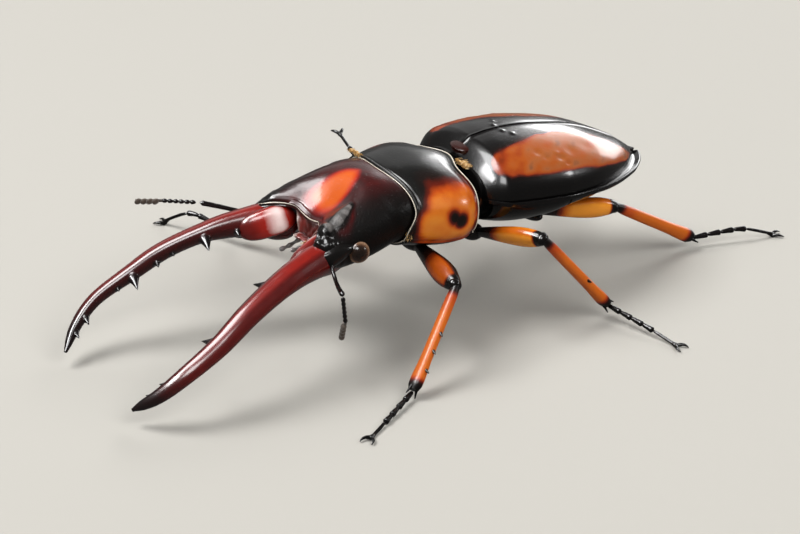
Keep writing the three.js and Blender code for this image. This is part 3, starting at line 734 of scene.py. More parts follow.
def head():
    """A superellipse section carried from the neck to the front edge, which is drawn back in the middle
    and hollowed from above. A crest follows each ridge, the front corners are lumped, the right side is
    smoother than the left, and the last rows turn in to the mouth. Gives the grid, the tone, which is high
    in the patch and low on ridges and corners, and the grit, which is high on the ridges."""
    u = np.linspace(0, 1, 190)
    s = u + 0.1 * np.sin(np.pi * u) * u
    s = s / s[-1]
    grid = ring_row(s * 0, *through(HEAD_OUTLINE, s).T, HEAD_LEVEL, 2.3, 300)
    x, z = np.abs(grid[..., 0]), grid[..., 2].copy()
    rugged = 0.25 + 0.75 * smooth((grid[..., 0] + 2) / 4)
    front = -HEAD_LENGTH + 3.3 * (1 - smooth((x - 2.3) / 5))
    s = s[:, None]
    y = HEAD_TUCK - s * (HEAD_TUCK - front)
    hollow = smooth((s - 0.35) / 0.55) * (1 - smooth(x / 7.2))
    z = z - np.where(z > HEAD_LEVEL, 2.3 * hollow * smooth((z - HEAD_LEVEL) / 2), 0)
    upper = smooth((z - HEAD_LEVEL) / 1.2)
    middle, girth, height = np.moveaxis(through(HEAD_RIDGE, y), -1, 0)
    crest = np.exp(-(((x - middle) / girth) ** 2)) * upper
    corner = smooth((x - middle + 1.4) / 0.9) * smooth((-y - 9.0) / 1.0) * smooth((z + 2) / 1)
    knobs = np.maximum(crest * smooth((-y - 7.8) / 0.8), corner)
    grid = np.stack([grid[..., 0], y, z], -1)
    lumps = waves(grid, 1.3, 3) * 0.07 + waves(grid, 0.75, 4) * 0.035
    for place, radius, rise in HEAD_KNOBS:
        off = np.stack([x, y, z], -1) - place
        lumps = lumps + rise * np.exp(-((off * off).sum(-1)) / radius**2)
    edge = (1 - s) * 9
    lift = (height * crest + knobs * lumps) * rugged + bead(edge, 0.28, 0.14, 0.12) * (x < 3.6) * upper
    grains = waves(grid, 0.42, 6) * smooth(height * 5) * smooth((y + 10.2) / 0.7)
    lift = lift + 0.012 * grains * crest * rugged
    lift = lift + 0.26 * smooth((y + 1.5) / 1.5) * (1 - 0.8 * smooth((z - 1) / 3))
    pinch = (0.15 + 0.35 * smooth((x - 3.2) / 2)) * smooth(1 - edge / 0.7) ** 2
    grid = grid + normals(grid) * (lift - pinch)[..., None]
    width = through(HEAD_PATCH, y)
    patch = least(width - x, (0.4 - y) * 0.8, (1 - s) * 9 - 0.5)
    tone = smooth(0.44 + patch / 2.6) * upper * (1 - 0.25 * smooth((-y - 5.5) / 2.5))
    strip = np.exp(-(((x - middle - girth - 0.35) / 0.5) ** 2))
    strip = strip * smooth((-y - 4.5) / 1.5) * smooth((y + 9.5) / 1.5)
    flush = 0.31 * smooth(1 - (x - 3.6) / 4.2) * upper + 0.3 * strip * upper
    grit = smooth(crest**1.5 * 1.5 - 0.1) * smooth(height * 3.2) * smooth((y + 10.4) / 1.0)
    grit = grit * (0.8 + 0.2 * smooth(0.5 + lumps * 6)) * rugged
    grit = np.maximum(grit, 0.1 + 0.45 * smooth((x - 4.5) / 2.5) * smooth((y + 9.4) / 0.8))
    hide = smooth(crest * 1.8 - 0.3) * smooth(height * 6) * rugged
    tone = np.maximum(tone, flush) * (1 - 0.97 * hide) * (1 - 0.97 * corner)
    middle, neck = grid[-1].mean(0), grid[0].mean(0)
    inwards = [(0.965, 0.3), (0.9, 1.2), (0.75, 2.4), (0.4, 3.0)]
    mouth = [middle + (grid[-1] - middle) * k + [0, back, 0] for k, back in inwards]
    nape = [neck + (grid[0] - neck) * k + [0, back, 0] for k, back in [(0.6, 0.5), (0.9, 0.3)]]
    pad = [(len(nape), len(mouth)), (0, 0)]
    return np.concatenate([nape, grid, mouth]), np.pad(tone, pad), np.pad(grit, pad)


def ball(radii, at, rows=40, columns=56, bulge=2.0):
    """A superellipsoid about a point: rings from pole to pole along the first axis of radii."""
    v = np.linspace(0.02, np.pi - 0.02, rows)[:, None]
    t = np.linspace(0, 2 * np.pi, columns, endpoint=False)[None]
    e = 2 / bulge
    x = raised(np.cos(v), e) * np.ones_like(t)
    y = raised(np.sin(v), e) * raised(np.cos(t), e)
    z = raised(np.sin(v), e) * raised(np.sin(t), e)
    return np.stack([x, y, z], -1) * radii + at


def ledge():
    """The ledge that covers the front half of each eye: a smooth superellipsoid whose underside hangs
    lower in front than behind, rolled about its length and tipped nose-down."""
    grid = ball([1.35, 3.0, 1.15], [0, 0, 0], 64, 72, 2.15)
    y, z = grid[..., 1], grid[..., 2]
    grid[..., 2] = np.where(z < 0, z * (1.15 - 0.22 * y), z * (1 + 0.12 * np.cos(y * 1.9)))
    grid = grid + (waves(grid, 1.8, 5) * 0.03)[..., None] * grid / 1.5
    return grid @ turned(-24, 1).T @ turned(-8).T + [7.9, -9.75, 0.2]


# Polished on brow and neck, where it shows lamps clearly, and duller and black on the sides: there, and
# on the ridges, whose grey is painted sheen, fine granules break the polish.
head_cuticle = chitin(
    "polished head chitin",
    HEAD_TONES,
    mottle=0.05,
    roughness=0.3,
    shine=0.25,
    coat=0.8,
    gloss=0.17,
    pore=0.5,
    pit=0.022,
    granule=0.05,
)
capsule, capsule_tone, capsule_grit = head()
skins = [skin(on_head(capsule), capsule_tone, capsule_grit)]
for mirror in (1, -1):
    skins.append(skin(on_head(ledge() * [mirror, 1, 1]), 0.0))
piece("head_capsule", skins, head_cuticle, ["head"])


# ---------------------------------------------------------------- eyes
# Compound eyes: domes of some thousand tiny lenses, dark brown with a painted amber glow at the rim,
# under a thin wet-looking clear skin.
EYE_RADIUS = 1.48
# From the middle of the CAD eye to the middle of the dome that shows.
EYE_SHIFT = np.array([0.42, -0.72, 0.42])
# Clear cuticle over dark pigment: wet-looking, with a paler amber ring painted as rim glow where the
# lenses would be seen edge on.
eye_cuticle = chitin(
    "clear faceted cornea",
    [(0, "#1a110c"), (0.35, "#33231a"), (0.65, "#5f4331"), (1, "#8f7058")],
    roughness=0.2,
    coat=0.6,
    gloss=0.1,
    pore=0.09,
    pit=0.004,
)
for side, mirror in (("left", 1), ("right", -1)):
    grid = ball([EYE_RADIUS] * 3, [0, 0, 0], 70, 90)
    # Painted rim glow: the tone rises to pale amber wherever the dome turns away from one fixed direction.
    rim = np.clip(1 - (grid @ [0.8, -0.25, 0.25]) / EYE_RADIUS, 0, 2)
    tone = smooth((rim - 0.12) / 0.55)
    grid = (grid + EYE_AT + EYE_SHIFT) * [mirror, 1, 1]
    piece("compound_eye_" + side, [skin(on_head(grid), tone)], eye_cuticle, ["eye_" + side])

# ---------------------------------------------------------------- mouth
# Under the brow's edge stands the face plate: a hollowed red shield of chitin with raised horn-coloured
# rims, ending in the lip over the mouth. A pale cord along the brow's edge, between brow and plate, is a
# painted highlight of the edge's bead, and on each side two thin jointed feelers of the lower jaws reach
# forward.
FACE_TOP = np.array([0, -8.35, 1.35])
FACE_FOOT = np.array([0, -10.1, -1.55])
# Share of the way down, half width.
FACE_OUTLINE = [(0, 3.5), (0.2, 2.95), (0.4, 2.4), (0.6, 2.05), (0.8, 1.8), (0.93, 1.7), (1, 1.3)]
FACE_TONES = [(0, "#140605"), (0.3, "#4e120b"), (0.5, "#7a2018"), (0.75, "#85605a"), (1, "#ab9a93")]
# Thin, uneven cuticle: blotched red in the hollow and like dull horn on the rims.
lip_cuticle = chitin("horn-rimmed face chitin", FACE_TONES, roughness=0.32, mottle=0.2, pore=0.3)


def face():
    """A plate that slopes down and forward: its front is hollow between two rounded rims that run down
    into a swollen lip, its back is flat. Gives the grid and the tone, high on rims and lip."""
    s = np.linspace(0, 1, 70)[:, None]
    a = np.linspace(-1, 1, 90)[None]
    half = through(FACE_OUTLINE, s[:, 0])[:, None]
    down = FACE_FOOT - FACE_TOP
    out = np.array([0, down[2], -down[1]]) / np.linalg.norm(down)
    rims = np.exp(-(((np.abs(a) - 0.86) / 0.11) ** 2))
    lip = np.exp(-(((s - 0.93) / 0.07) ** 2))
    places = np.stack(np.broadcast_arrays(a * 2.5, s * 3.3, 0.0), -1)
    relief = 0.34 * rims - 0.25 * np.clip(1 - a * a, 0, 1) * np.sin(np.pi * s)
    relief = relief + 0.07 * waves(places, 1.1, 12)
    relief = relief + 0.5 * lip - 0.25 * np.exp(-(((s - 0.8) / 0.05) ** 2))
    front = FACE_TOP + s[..., None] * down + relief[..., None] * out
    front[..., 0] += half * a
    back = front[:, ::-9] * [0.97, 1, 1] - (0.65 + relief[:, ::-9, None]) * out
    tone = 0.3 + 0.55 * rims + 0.35 * lip - 0.3 * smooth(1 - s / 0.12)
    tone = tone + 0.2 * np.exp(-(((a + 0.55) / 0.25) ** 2)) * smooth(1 - s / 0.7)
    return np.concatenate([front, back], 1), np.pad(tone.clip(0, 1), [(0, 0), (0, back.shape[1])])


plate, plate_tone = face()
piece("lip_plate", [skin(on_head(plate), plate_tone)], lip_cuticle, ["labrum"])

PALPS = {
    "palp_outer": [(3.0, -8.6, -2.9), (3.4, -10.6, -3.4), (3.0, -12.4, -3.0)],
    "palp_inner": [(1.1, -8.8, -3.0), (1.3, -10.4, -3.0), (1.0, -11.8, -2.5)],
}
PALP_RADIUS = 0.26


def line(points, s):
    """The place at s of a smooth line through points at even shares of the way."""
    points = np.asarray(points, float)
    return through(np.column_stack([np.linspace(0, 1, len(points)), points]), s)


def limb(middle, side, wide, thick, columns=24, bulge=2.0):
    """An oval section carried along a line: wide is its half width along side, thick its half thickness
    across it. Gives the grid, and the turn round the section of each column."""
    along = np.gradient(middle, axis=0)
    along /= np.linalg.norm(along, axis=1, keepdims=True)
    side = np.asarray(side, float) - along * (along @ np.asarray(side, float))[:, None]
    side /= np.linalg.norm(side, axis=1, keepdims=True)
    up = np.cross(along, side)
    turn = np.linspace(0, 2 * np.pi, columns, endpoint=False)
    wide, thick = (np.broadcast_to(v, len(middle)).reshape(-1, 1, 1) for v in (wide, thick))
    c, s = (raised(f(turn), 2 / bulge)[None, :, None] for f in (np.cos, np.sin))
    return middle[:, None] + side[:, None] * wide * c + up[:, None] * thick * s, turn


UP = np.array([0, 0, 1.0])


def brow_highlight_cord():
    """A thin round pale cord, a painted highlight, laid along the upper front edge of the head's grid, thin
    at its ends and middle.
    """
    rim = capsule[-12]
    order = np.argsort(rim[:, 0] + 100 * (rim[:, 2] < HEAD_LEVEL))
    order = order[(np.abs(rim[order, 0] + 1.6) < 5.5) & (rim[order, 2] > HEAD_LEVEL)]
    t = np.linspace(0, 1, len(order))
    ends = np.clip(np.minimum(t, 1 - t) * 5, 0.3, 1)
    girth = 0.075 * ends * (1 - 0.75 * np.exp(-(((t - 0.52) / 0.13) ** 2)))
    return limb(rim[order] + [0, -0.1, 0.04], UP, girth, girth, 12)[0]


# Painted highlight: the pale cord along the brow's edge.
piece("brow_highlight_line", [skin(on_head(brow_highlight_cord()), 0.7)], highlight_cord_cuticle, [])
# Thin unpolished cuticle: greyish brown with a weak gleam.
feeler_cuticle = chitin("dull grey-brown chitin", [(0, "#2a2522"), (1, "#a39c9c")], roughness=0.3, coat=0.6)


def feeler(points):
    """A round section along a smooth line, waisted at three joints and rounded off at the tip."""
    s = np.linspace(0, 1, 60)
    girth = PALP_RADIUS * (1 - 0.25 * np.cos(s * 3 * 2 * np.pi) * (s < 0.97))
    girth = girth * (1 - 0.9 * smooth((s - 0.93) / 0.07))
    return limb(line(points, s), UP, girth, girth, 20)[0]


for name, points in PALPS.items():
    for side, mirror in (("left", 1), ("right", -1)):
        shape = skin(on_head(feeler(points) * [mirror, 1, 1]), 0.5)
        piece(name + "_feeler_" + side, [shape], feeler_cuticle, [name + "_" + side])

# ---------------------------------------------------------------- jaws
# The long forward-bowed mandibles: each one solid horn of blood-red chitin, polished, that darkens to
# black at its tip, along its inner edge and on the teeth, which grow out of the inner edge. Its upper
# face is painted lighter and its underside darker as painted light and shade, and the inner face of its
# knuckle has a painted pale highlight. Each turns on a knuckle at its root, and is held in the head by it.
JAW_LINE = [
    (5.0, -7.6, -0.8),
    (6.2, -10.0, -0.95),
    (7.15, -12.9, -0.07),
    (8.9, -18.3, 0.55),
    (10.5, -24.3, 0.05),
    (11.5, -29.6, -1.35),
    (11.8, -34.9, -2.6),
    (10.8, -38.8, -4.2),
    (8.8, -41.8, -5.6),
]
# Share of the way along, half of the greater and half of the lesser thickness.
JAW_SIZE = [
    (0, 1.5, 1.5),
    (0.07, 2.05, 2.5),
    (0.13, 2.0, 2.65),
    (0.24, 2.08, 2.07),
    (0.32, 1.85, 1.65),
    (0.42, 1.65, 1.2),
    (0.58, 1.4, 1.15),
    (0.72, 1.2, 0.92),
    (0.86, 0.95, 0.75),
    (0.95, 0.65, 0.5),
    (1, 0.22, 0.22),
]
# How far the section's greater width leans down on its outer side, in degrees.
JAW_TILT = 30
# Teeth: share of the way along, length, root radius.
JAW_TEETH = [
    (0.31, 1.0, 0.5),
    (0.397, 2.6, 0.8),
    (0.485, 0.6, 0.45),
    (0.535, 1.0, 0.5),
    (0.617, 2.4, 0.75),
    (0.67, 0.6, 0.4),
    (0.812, 1.4, 0.5),
    (0.884, 1.1, 0.4),
]
# The palest stop is a painted highlight: only the knuckle's inner face comes near it.
JAW_TONES = [
    (0, "#080606"),
    (0.2, "#1e0606"),
    (0.4, "#470a09"),
    (0.6, "#6d100a"),
    (0.8, "#9a1c10"),
    (1, "#f2dad6"),
]
KNUCKLE_RADII = [1.5, 4.0, 1.95]
KNUCKLE_AT = [5.35, -11.9, 0.0]


def jaw():
    """The left jaw: an oval section carried along its line, with a low keel on top. Each tooth is a cone
    drawn out of the grid inwards, steepest at its tip, where the surface is nearest to the tooth's root."""
    s = np.linspace(0, 1, 520)
    wide, thick = through(JAW_SIZE, s).T
    flat = np.array([np.cos(radians(JAW_TILT)), 0, -np.sin(radians(JAW_TILT))])
    middle = line(JAW_LINE, s)
    grid, turn = limb(middle, flat, wide, thick, 120, 2.15)
    length = np.concatenate([[0], np.cumsum(np.linalg.norm(np.diff(middle, axis=0), axis=1))])
    along = np.gradient(middle, axis=0)
    along /= np.linalg.norm(along, axis=1, keepdims=True)
    outward = normals(grid)
    keel = np.exp(-(((turn - radians(80)) / 0.22) ** 2))[None] * smooth((s - 0.06) / 0.08)[:, None]
    keel = keel * (1 - smooth((s - 0.4) / 0.25))[:, None]
    grid = grid + outward * (0.09 * keel)[..., None]
    black = np.zeros(grid.shape[:2])
    for share, reach, root in JAW_TEETH:
        i = int(round(share * (len(s) - 1)))
        aim = np.array([-1, 0, -0.08]) + 0.35 * along[i]
        aim /= np.linalg.norm(aim)
        off = grid - middle[i]
        far = np.linalg.norm(off - (off @ aim)[..., None] * aim, axis=-1)
        near = (off @ aim > 0) & (np.abs(length - length[i]) < 3 * root)[:, None]
        pull = np.where(near, np.clip(1 - far / (root * 1.25), 0, 1), 0)
        black = np.maximum(black, smooth(pull * 2.2))
        pull = pull * pull * (1.6 - 0.6 * pull)
        grid = grid + (pull * reach)[..., None] * aim
    inner = smooth((-np.cos(turn)[None] - 0.45) / 0.5) * smooth((s[:, None] - 0.2) / 0.3)
    tip = smooth((s[:, None] - 0.72) / 0.25)
    # Painted light and shade: the upper face towards the inner edge is lightened, most near the root, and
    # the underside is darkened.
    top = smooth((turn - radians(76)) / radians(20)) * smooth((radians(175) - turn) / radians(40))
    tone = 0.45 + 0.23 * top[None] * smooth(1.3 - s[:, None] * 1.2)
    tone = tone - 0.14 * smooth(-np.sin(turn)[None] / 0.8) + 0.1 * smooth(1 - s[:, None] / 0.2)
    tone = tone * (1 - 0.35 * inner) * (1 - 0.8 * tip) * (1 - black)
    return grid, tone


def knuckle():
    """The boss on which the left jaw turns: a flattened superellipsoid, rolled about its length and swung
    outwards. The tone is highest on its inner face, which is painted pale pink-white as a highlight."""
    grid = ball(KNUCKLE_RADII, [0, 0, 0], 72, 88, 2.5)
    x, y = grid[..., 0], grid[..., 1]
    # Painted highlight: pale pink-white on the inner face, palest towards the rear end.
    painted_highlight = smooth((-x - 0.1) / 1.2) * smooth((3.8 - np.abs(y)) / 2.4)
    tone = 0.5 + 0.5 * painted_highlight * (0.3 + 0.7 * smooth((y + 2.6) / 4.4))
    return grid @ turned(28, 1).T @ turned(17, 2).T + KNUCKLE_AT, tone


# Thick polished cuticle, stained by blood-red pigment: long clear gleams over a deep colour.
jaw_cuticle = chitin(
    "polished blood-red chitin", JAW_TONES, roughness=0.26, coat=1.0, gloss=0.18, pore=0.5, pit=0.006
)
jaw_parts = [jaw(), knuckle()]
for side, mirror in (("left", 1), ("right", -1)):
    shapes = [skin(on_head(grid * [mirror, 1, 1]), tone) for grid, tone in jaw_parts]
    piece("mandible_" + side, shapes, jaw_cuticle, ["jaw_" + side])

# ---------------------------------------------------------------- antennae
# Elbowed feelers: a long first joint, a string of six small glossy black beads, and a club of matt leaves
# that are covered in down too fine to see. Each sits in a socket beside the jaw's root.

# Base, elbow, foot of the club and tip, in the head's frame.
ANTENNAE = {
    "left": [(7.6, -10.7, -3.1), (15.2, -13.7, -0.6), (14.3, -13.8, -5.2), (12.9, -14.1, -8.3)],
    "right": [(-8.5, -9.6, -2.2), (-13.0, -17.1, 2.4), (-15.6, -21.0, 3.6), (-17.5, -24.1, 4.4)],
}
# How far each first joint's root lies from its base towards the socket.
SCAPE_ROOT = {"left": np.array([1.3, -0.6, 2.7]), "right": np.array([0.0, 0.0, 0.0])}
BEADS = 6
LEAVES = 4
# An upright that no joint of the antennae runs along.
LEANT = np.array([0.1, 0.2, 1.0])
# Cuticle under a pile of the finest hairs: matt and soft, with a faint light rim.
CLUB_TONES = [(0, "#1d1713"), (1, "#5a4c40")]
club_cuticle = chitin(
    "downy matt chitin", CLUB_TONES, roughness=0.75, coat=0.0, pore=0.12, pit=0.02, sheen=0.4
)


def unit(v):
    """A vector's direction."""
    return v / np.linalg.norm(v)


def first_joint(base, elbow, root):
    """A round section along a slightly bowed line from base to elbow, whose root is shifted to the socket.
    It thickens forwards and closes at the elbow."""
    s = np.linspace(0, 1, 60)
    t = s[:, None]
    bow = np.cross(elbow - base, UP) * 0.06 * (t * (1 - t)) + root * (1 - t) ** 3
    girth = (0.24 + 0.12 * s**2) * (1 - 0.8 * smooth((s - 0.96) / 0.04))
    return limb(base + (elbow - base) * t + bow, UP, girth, girth, 20)[0]


def beads(elbow, neck):
    """Egg-shaped beads in a row, each a round section whose radius follows half an oval."""
    way = unit(neck - elbow)
    step = (np.linalg.norm(neck - elbow) - 0.5) / BEADS
    t = np.linspace(-1, 1, 22)
    girth = 0.34 * np.sqrt(np.clip(1 - t**2, 0.02, 1)) * (0.85 + 0.15 * t)
    middles = [elbow + way * (0.5 + step * (k + 0.5)) for k in range(BEADS)]
    return [limb(at + way * t[:, None] * step * 0.54, LEANT, girth, girth, 18)[0] for at in middles]


def club(neck, tip):
    """Flat oval leaves that lean out to one side, in a row, and the round core that carries them."""
    way = unit(tip - neck)
    reach = np.linalg.norm(tip - neck)
    across = unit(np.cross(way, UP))
    t = np.linspace(-1, 1, 26)
    oval = np.sqrt(np.clip(1 - t**2, 0.03, 1))
    out = (way * reach * 0.22 - across * 0.42) * 0.55 * (t[:, None] + 1)
    roots = [neck + way * reach * (0.1 + 0.8 * k / LEAVES) for k in range(LEAVES)]
    leaves = [limb(root + out, np.cross(way, across), 0.42 * oval, 0.26 * oval, 20)[0] for root in roots]
    stalk = neck + way * reach * 0.92 * np.linspace(0, 1, 30)[:, None]
    return leaves, limb(stalk, LEANT, 0.2, 0.2, 14)[0]


for side, joints in ANTENNAE.items():
    base, elbow, neck, tip = np.array(joints)
    first = skin(on_head(first_joint(base, elbow, SCAPE_ROOT[side])), 0.2)
    piece("scape_shaft_" + side, [first], black_cuticle, ["scape_" + side])
    string = [skin(on_head(grid), 0.2) for grid in beads(elbow, neck)]
    piece("bead_string_" + side, string, black_cuticle, ["funicle_" + side])
    leaves, core = club(neck, tip)
    shapes = [skin(on_head(grid), 0.6) for grid in leaves] + [skin(on_head(core), 0.3)]
    piece("club_leaves_" + side, shapes, club_cuticle, ["club_" + side])

# ---------------------------------------------------------------- legs
# Six walking legs of chitin tubes: hip ball, spindle-shaped orange thigh with black ends, slim red-orange
# shin with dark edges and small spines, and a black foot of five joints with two claws.

# Hip's middle and radii in the trunk's frame, lengths of thigh and shin, and for each side the ankle and
# toe as measured from the table under the trunk's origin, the foot's arch, and the knee's lean in degrees.
LEGS = {
    "front": dict(
        hip=(3.4, -7.7, -6.2),
        coxa=(2.6, 1.5, 1.4),
        femur=13.35,
        tibia=14.6,
        left=((21.8, -20.2, 1.2), (27.6, -30.2, 0.2), 0, -50),
        right=((-27.0, -17.0, 1.7), (-37.9, -22.4, 0.2), 2.1, 10),
    ),
    "mid": dict(
        hip=(3.8, 1.4, -6.2),
        coxa=(1.7, 1.6, 1.2),
        femur=12.9,
        tibia=14.5,
        left=((17.6, 12.6, 2.0), (29.3, 15.3, 0.2), 0.2, 38.7),
        right=((-27.4, 4.8, 4.6), (-39.3, 7.2, 6.0), 0, 0),
    ),
    "hind": dict(
        hip=(4.2, 9.8, -4.3),
        coxa=(3.0, 1.4, 1.0),
        femur=12.95,
        tibia=14.7,
        left=((7.5, 34.3, 1.6), (11.0, 46.0, 0.2), 1.1, 18.7),
        right=((-17.5, 27.5, 1.6), (-24.5, 37.6, 0.2), 0.9, -10),
    ),
}
# Share of the length, half of the greater and half of the lesser thickness.
FEMUR_SIZE = [
    (0, 0.55, 0.55),
    (0.15, 0.7, 0.65),
    (0.35, 1.05, 0.9),
    (0.62, 1.5, 1.1),
    (0.78, 1.5, 1.1),
    (0.91, 1.15, 0.95),
    (1, 0.75, 0.7),
]
TIBIA_SIZE = [(0, 0.5, 0.5), (0.12, 0.72, 0.6), (0.7, 0.85, 0.62), (0.94, 1.0, 0.72), (1, 0.7, 0.55)]
# The thigh's black share at its root, strength of its dark edges, brightness of its orange; the front
# thighs' orange is dimmed as painted shade.
THIGH_LOOKS = {"front": (0.3, 0.8, 0.58), "mid": (0.2, 0.3, 1.0), "hind": (0.2, 0.3, 1.0)}
# Spines on the shin's outer edge: share of the length, reach.
SPINES = {"front": [(0.45, 0.4), (0.62, 0.5), (0.8, 0.7)], "mid": [(0.62, 0.3)], "hind": []}
# Where the foot's five joints meet, as shares of its length.
FOOT_JOINTS = [0, 0.15, 0.28, 0.41, 0.54, 1.0]
CLAW_LENGTH = 1.5
CLAW_SPREAD = 0.8
FEMUR_TONES = [(0, "#080606"), (0.25, "#240c05"), (0.5, "#7c2a06"), (0.72, "#c4600f"), (1, "#ea942c")]
TIBIA_TONES = [(0, "#080606"), (0.25, "#260a05"), (0.5, "#741d07"), (0.75, "#b04109"), (1, "#cf6a12")]
# Polished cuticle that is clear over orange tissue: warm, deep colour under small bright gleams.
femur_cuticle = chitin("polished thigh chitin", FEMUR_TONES, roughness=0.25, pore=0.35, pit=0.005)
# The shins' is a little worn, so that its gleam is weaker.
tibia_cuticle = chitin("polished shin chitin", TIBIA_TONES, roughness=0.36, coat=0.15, pore=0.35, pit=0.005)


def knee_of(hip, ankle, femur, tibia, lean):
    """Where thigh and shin of given lengths meet, over the line from hip to ankle, leant about it."""
    span = np.linalg.norm(ankle - hip)
    along = (ankle - hip) / span
    reach = (femur**2 - tibia**2 + span**2) / (2 * span)
    rise = np.sqrt(femur**2 - reach**2)
    up = unit(UP - along * along[2])
    up = up * np.cos(radians(lean)) + np.cross(along, up) * np.sin(radians(lean))
    return hip + along * reach + up * rise


def cone(root, tip, radius, end=0.06):
    """A thin round spine from its root to its tip."""
    t = np.linspace(0, 1, 14)
    girth = radius + (end - radius) * t**1.3
    side = UP if abs(unit(tip - root)[2]) < 0.9 else np.array([1.0, 0, 0])
    return limb(root + (tip - root) * t[:, None], side, girth, girth, 12)[0]


def thigh(hip, knee, bend, looks):
    """A spindle, an oval section carried from hip to knee, black at both ends and darker along its edges,
    and a black knob over the knee."""
    dark, edging, bright = looks
    along = unit(knee - hip)
    side = np.cross(bend, along)
    s = np.linspace(0, 1, 110)
    wide, thick = through(FEMUR_SIZE, s).T
    wide = wide * (1 - 0.5 * smooth((s - 0.97) / 0.03))
    s = s[:, None]
    grid, turn = limb(hip + (knee - hip + along * 0.1) * s, side, wide, thick, 48)
    ends = smooth((s - dark) / 0.3) * smooth((0.94 - s) / 0.06)
    edge = edging * smooth((np.abs(np.cos(turn)) - 0.72) / 0.28)
    # Painted shade: on the front thighs bright is low, which dims their orange.
    tone = bright * ends * (1 - edge * (0.55 + 0.45 * (np.cos(turn) < 0)))
    knob = ball([0.95, 0.8, 0.8], [0, 0, 0], 24, 32) * 0.98 @ np.stack([bend, side, along])
    return [skin(grid, tone), skin(knob + knee - along * 0.35)]


def shin(knee, ankle, bend, spines):
    """A slim tube, a squarish oval section carried from knee to ankle, dark at both ends and along one
    edge, with spines on its outer edge and a spur on either side of the ankle."""
    along = unit(ankle - knee)
    side = np.cross(bend, along)
    s = np.linspace(0, 1, 120)
    wide, thick = through(TIBIA_SIZE, s).T
    s = s[:, None]
    grid, turn = limb(knee + (ankle - knee) * s, side, wide, thick, 48, 2.3)
    ends = smooth((s - 0.02) / 0.1) * smooth((0.97 - s) / 0.1)
    edge = smooth((np.cos(turn) - 0.8) / 0.2)
    shapes = [skin(grid, ends * (0.92 - 0.5 * edge) * (1 - 0.25 * smooth(1 - s / 0.35)))]
    for share, reach in spines:
        root = knee + (ankle - knee) * share - side * 0.55
        shapes.append(skin(cone(root, root - side * (0.3 + reach) + along * 0.5, 0.28)))
    for way in (1, -1):
        root = ankle - along * 0.6 + bend * way * 0.4
        tip = root + along * 1.5 + bend * way * 0.45 + UP * 0.1
        tip[2] = max(tip[2], 0.12)
        shapes.append(skin(cone(root, tip, 0.26)))
    return shapes


def foot(start, toe, arch):
    """Five joints along an arched line, each a round section that swells forwards, and two claws, round
    sections along a bow that spreads and hooks. What would dip into the table is pressed flat on it."""
    path = [(0.0, 0), (0.3, 0.6), (0.6, 1), (0.86, 0.5), (1, 0)]
    path = [start + (toe - start) * share + UP * rise * arch for share, rise in path]
    t = np.linspace(0, 1, 26)
    ends = np.sqrt(np.clip(1 - (2 * t - 1) ** 10, 0.05, 1))
    shapes = []
    for first, last in zip(FOOT_JOINTS, FOOT_JOINTS[1:]):
        girth = 0.27 + 0.17 * t**1.3 if last < 1 else 0.22 + 0.13 * smooth((t - 0.6) / 0.3)
        grid, _ = limb(line(path, first + (last - first) * t), UP, girth * ends, girth * ends, 20)
        shapes.append((grid, 0.1))
    ahead = unit((toe - start) * [1, 1, 0])
    t = np.linspace(0, 1, 24)[:, None]
    girth = 0.26 * (1 - 0.75 * t[:, 0] ** 1.6)
    for way in (1, -1):
        spread = np.cross(UP, ahead) * way * CLAW_SPREAD * np.sin(t * 1.7) / np.sin(1.7)
        hook = toe - ahead * 0.4 + ahead * CLAW_LENGTH * t + spread + UP * 0.21 * np.sin(np.pi * t)
        shapes.append((limb(hook, UP, girth, girth, 14)[0], 0.0))
    return [skin(np.maximum(grid, [-np.inf, -np.inf, 0.0]), tone) for grid, tone in shapes]


FLOOR_AT = TRUNK_AT * [1, 1, 0]
for name, leg in LEGS.items():
    for side, mirror in (("left", 1), ("right", -1)):
        label = name + "_" + side
        ankle, toe, arch, lean = leg[side]
        ankle, toe = np.array(ankle) + FLOOR_AT, np.array(toe) + FLOOR_AT
        socket = np.array(leg["hip"]) * [mirror, 1, 1]
        hip = on_trunk(socket)
        knee = knee_of(hip, ankle, leg["femur"], leg["tibia"], lean)
        bend = unit(np.cross(knee - hip, ankle - knee))

        coxa = skin(on_trunk(ball(np.array(leg["coxa"]) - 0.05, socket)), 0.1)
        piece("hip_" + label, [coxa], black_cuticle, ["coxa_" + label])
        shapes = thigh(hip, knee, bend, THIGH_LOOKS[name])
        piece("thigh_" + label, shapes, femur_cuticle, ["femur_" + label])
        shapes = shin(knee, ankle, bend, SPINES[name])
        piece("shin_" + label, shapes, tibia_cuticle, ["tibia_" + label])
        shapes = foot(ankle + unit(ankle - knee) * 0.3, toe, arch)
        piece("foot_" + label, shapes, black_cuticle, ["tarsus_" + label])

# ---------------------------------------------------------------- hairs
# Short golden bristles: a fringe on the nape before the pronotum, a small brush beside the scutellum, a
# few at the neck's lower corner and the brush of the mouth. Each is a thin curved cone of keratin-like
# chitin, rooted just under the skin.

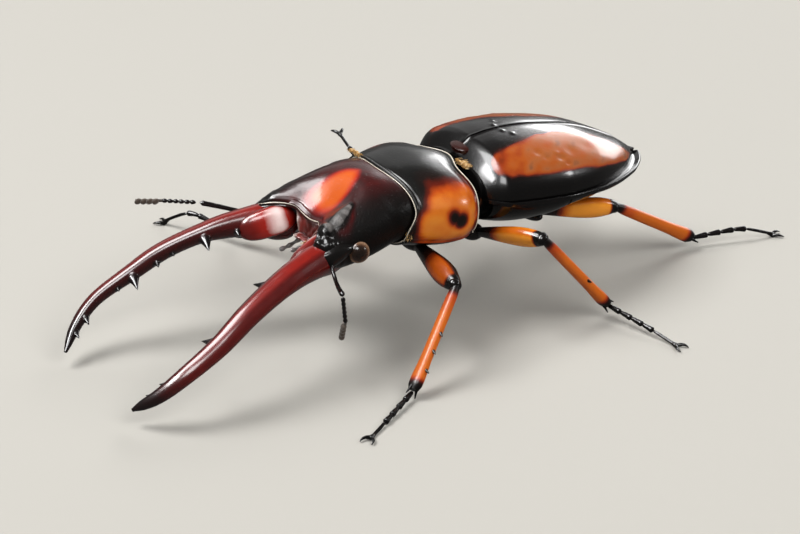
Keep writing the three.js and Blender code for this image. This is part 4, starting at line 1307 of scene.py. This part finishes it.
# Pale, half clear bristle: it glints straw-gold, darker from one bristle to the next.
setae = bpy.data.materials.new("golden keratin bristle")
setae.use_nodes = True
horn_tree = setae.node_tree
horn_shader = horn_tree.nodes["Principled BSDF"]
where = add(horn_tree, "ShaderNodeTexCoord").outputs["Object"]
tint = add(horn_tree, "ShaderNodeTexNoise", {"Vector": where, "Scale": 1 / (0.3 * MM)}).outputs["Fac"]
GOLDS = [(0.3, "#8a6431"), (0.5, "#c99b58"), (0.7, "#f0dcae")]
gold = add(horn_tree, "ShaderNodeValToRGB", {"Fac": tint}, stops=GOLDS)
horn_tree.links.new(gold.outputs["Color"], horn_shader.inputs["Base Color"])
horn_shader.inputs["Roughness"].default_value = 0.45

# Name, middle of the roots, half spread, way the hairs point, length, number, frame.
TUFTS = [
    ("nape", (-4.9, -10.9, 2.5), (2.3, 0.2, 0.15), (-0.1, -0.95, 0.12), 0.75, 320, on_trunk),
    ("shoulder", (2.5, -0.5, 2.95), (1.3, 0.3, 0.25), (0.35, 0.9, 0.05), 0.85, 320, on_trunk),
    ("throat", (8.3, -11.6, -3.1), (0.25, 0.4, 0.5), (0.5, -0.6, -0.5), 0.6, 60, on_trunk),
    ("mouth", (1.6, -10.1, -1.3), (0.8, 0.2, 0.35), (0.25, -0.8, 0.1), 1.2, 70, on_head),
]
# Some four times a real bristle's, which would not show.
HAIR_RADIUS = 0.045


def tuft(middle, spread, way, length, number, frame, seed):
    """Curved cones about a shared way, from roots spread evenly about the middle. Gives their skins and
    the map place of every point: each hair has a patch 0.003 wide, placed by where its root is."""
    rng = np.random.default_rng(seed)
    skins, places = [], []
    t = np.linspace(0, 1, 7)
    for _ in range(number):
        root = np.array(middle) + np.array(spread) * rng.uniform(-1, 1, 3)
        aim = unit(np.array(way) + rng.normal(0, 0.12, 3)) * length * rng.uniform(0.6, 1.1)
        droop = rng.normal(0, 0.1, 3) * length
        path = root + aim * t[:, None] + droop * t[:, None] ** 2
        girth = HAIR_RADIUS * (1 - 0.85 * t**2)
        grid, turn = limb(path, [0.3, 0.2, 1.0], girth, girth, 6)
        skins.append(skin(frame(grid), 0.0))
        own = np.stack(np.broadcast_arrays(turn[None] / 6.3 - 0.5, t[:, None] - 0.5), -1).reshape(-1, 2)
        own = np.vstack([own, [0, -0.5], [0, 0.5]]) * 0.003
        around = np.arctan2(root[0], root[2] + 3) / 6.3 + 0.5
        places.append(own + [around, 0.5 + root[1] / 60])
    return skins, np.vstack(places)


for seed, (name, middle, spread, way, length, number, frame_of) in enumerate(TUFTS):
    hairs, places = tuft(middle, spread, way, length, number, frame_of, seed)
    piece(name + "_bristles", hairs, setae, [], places)
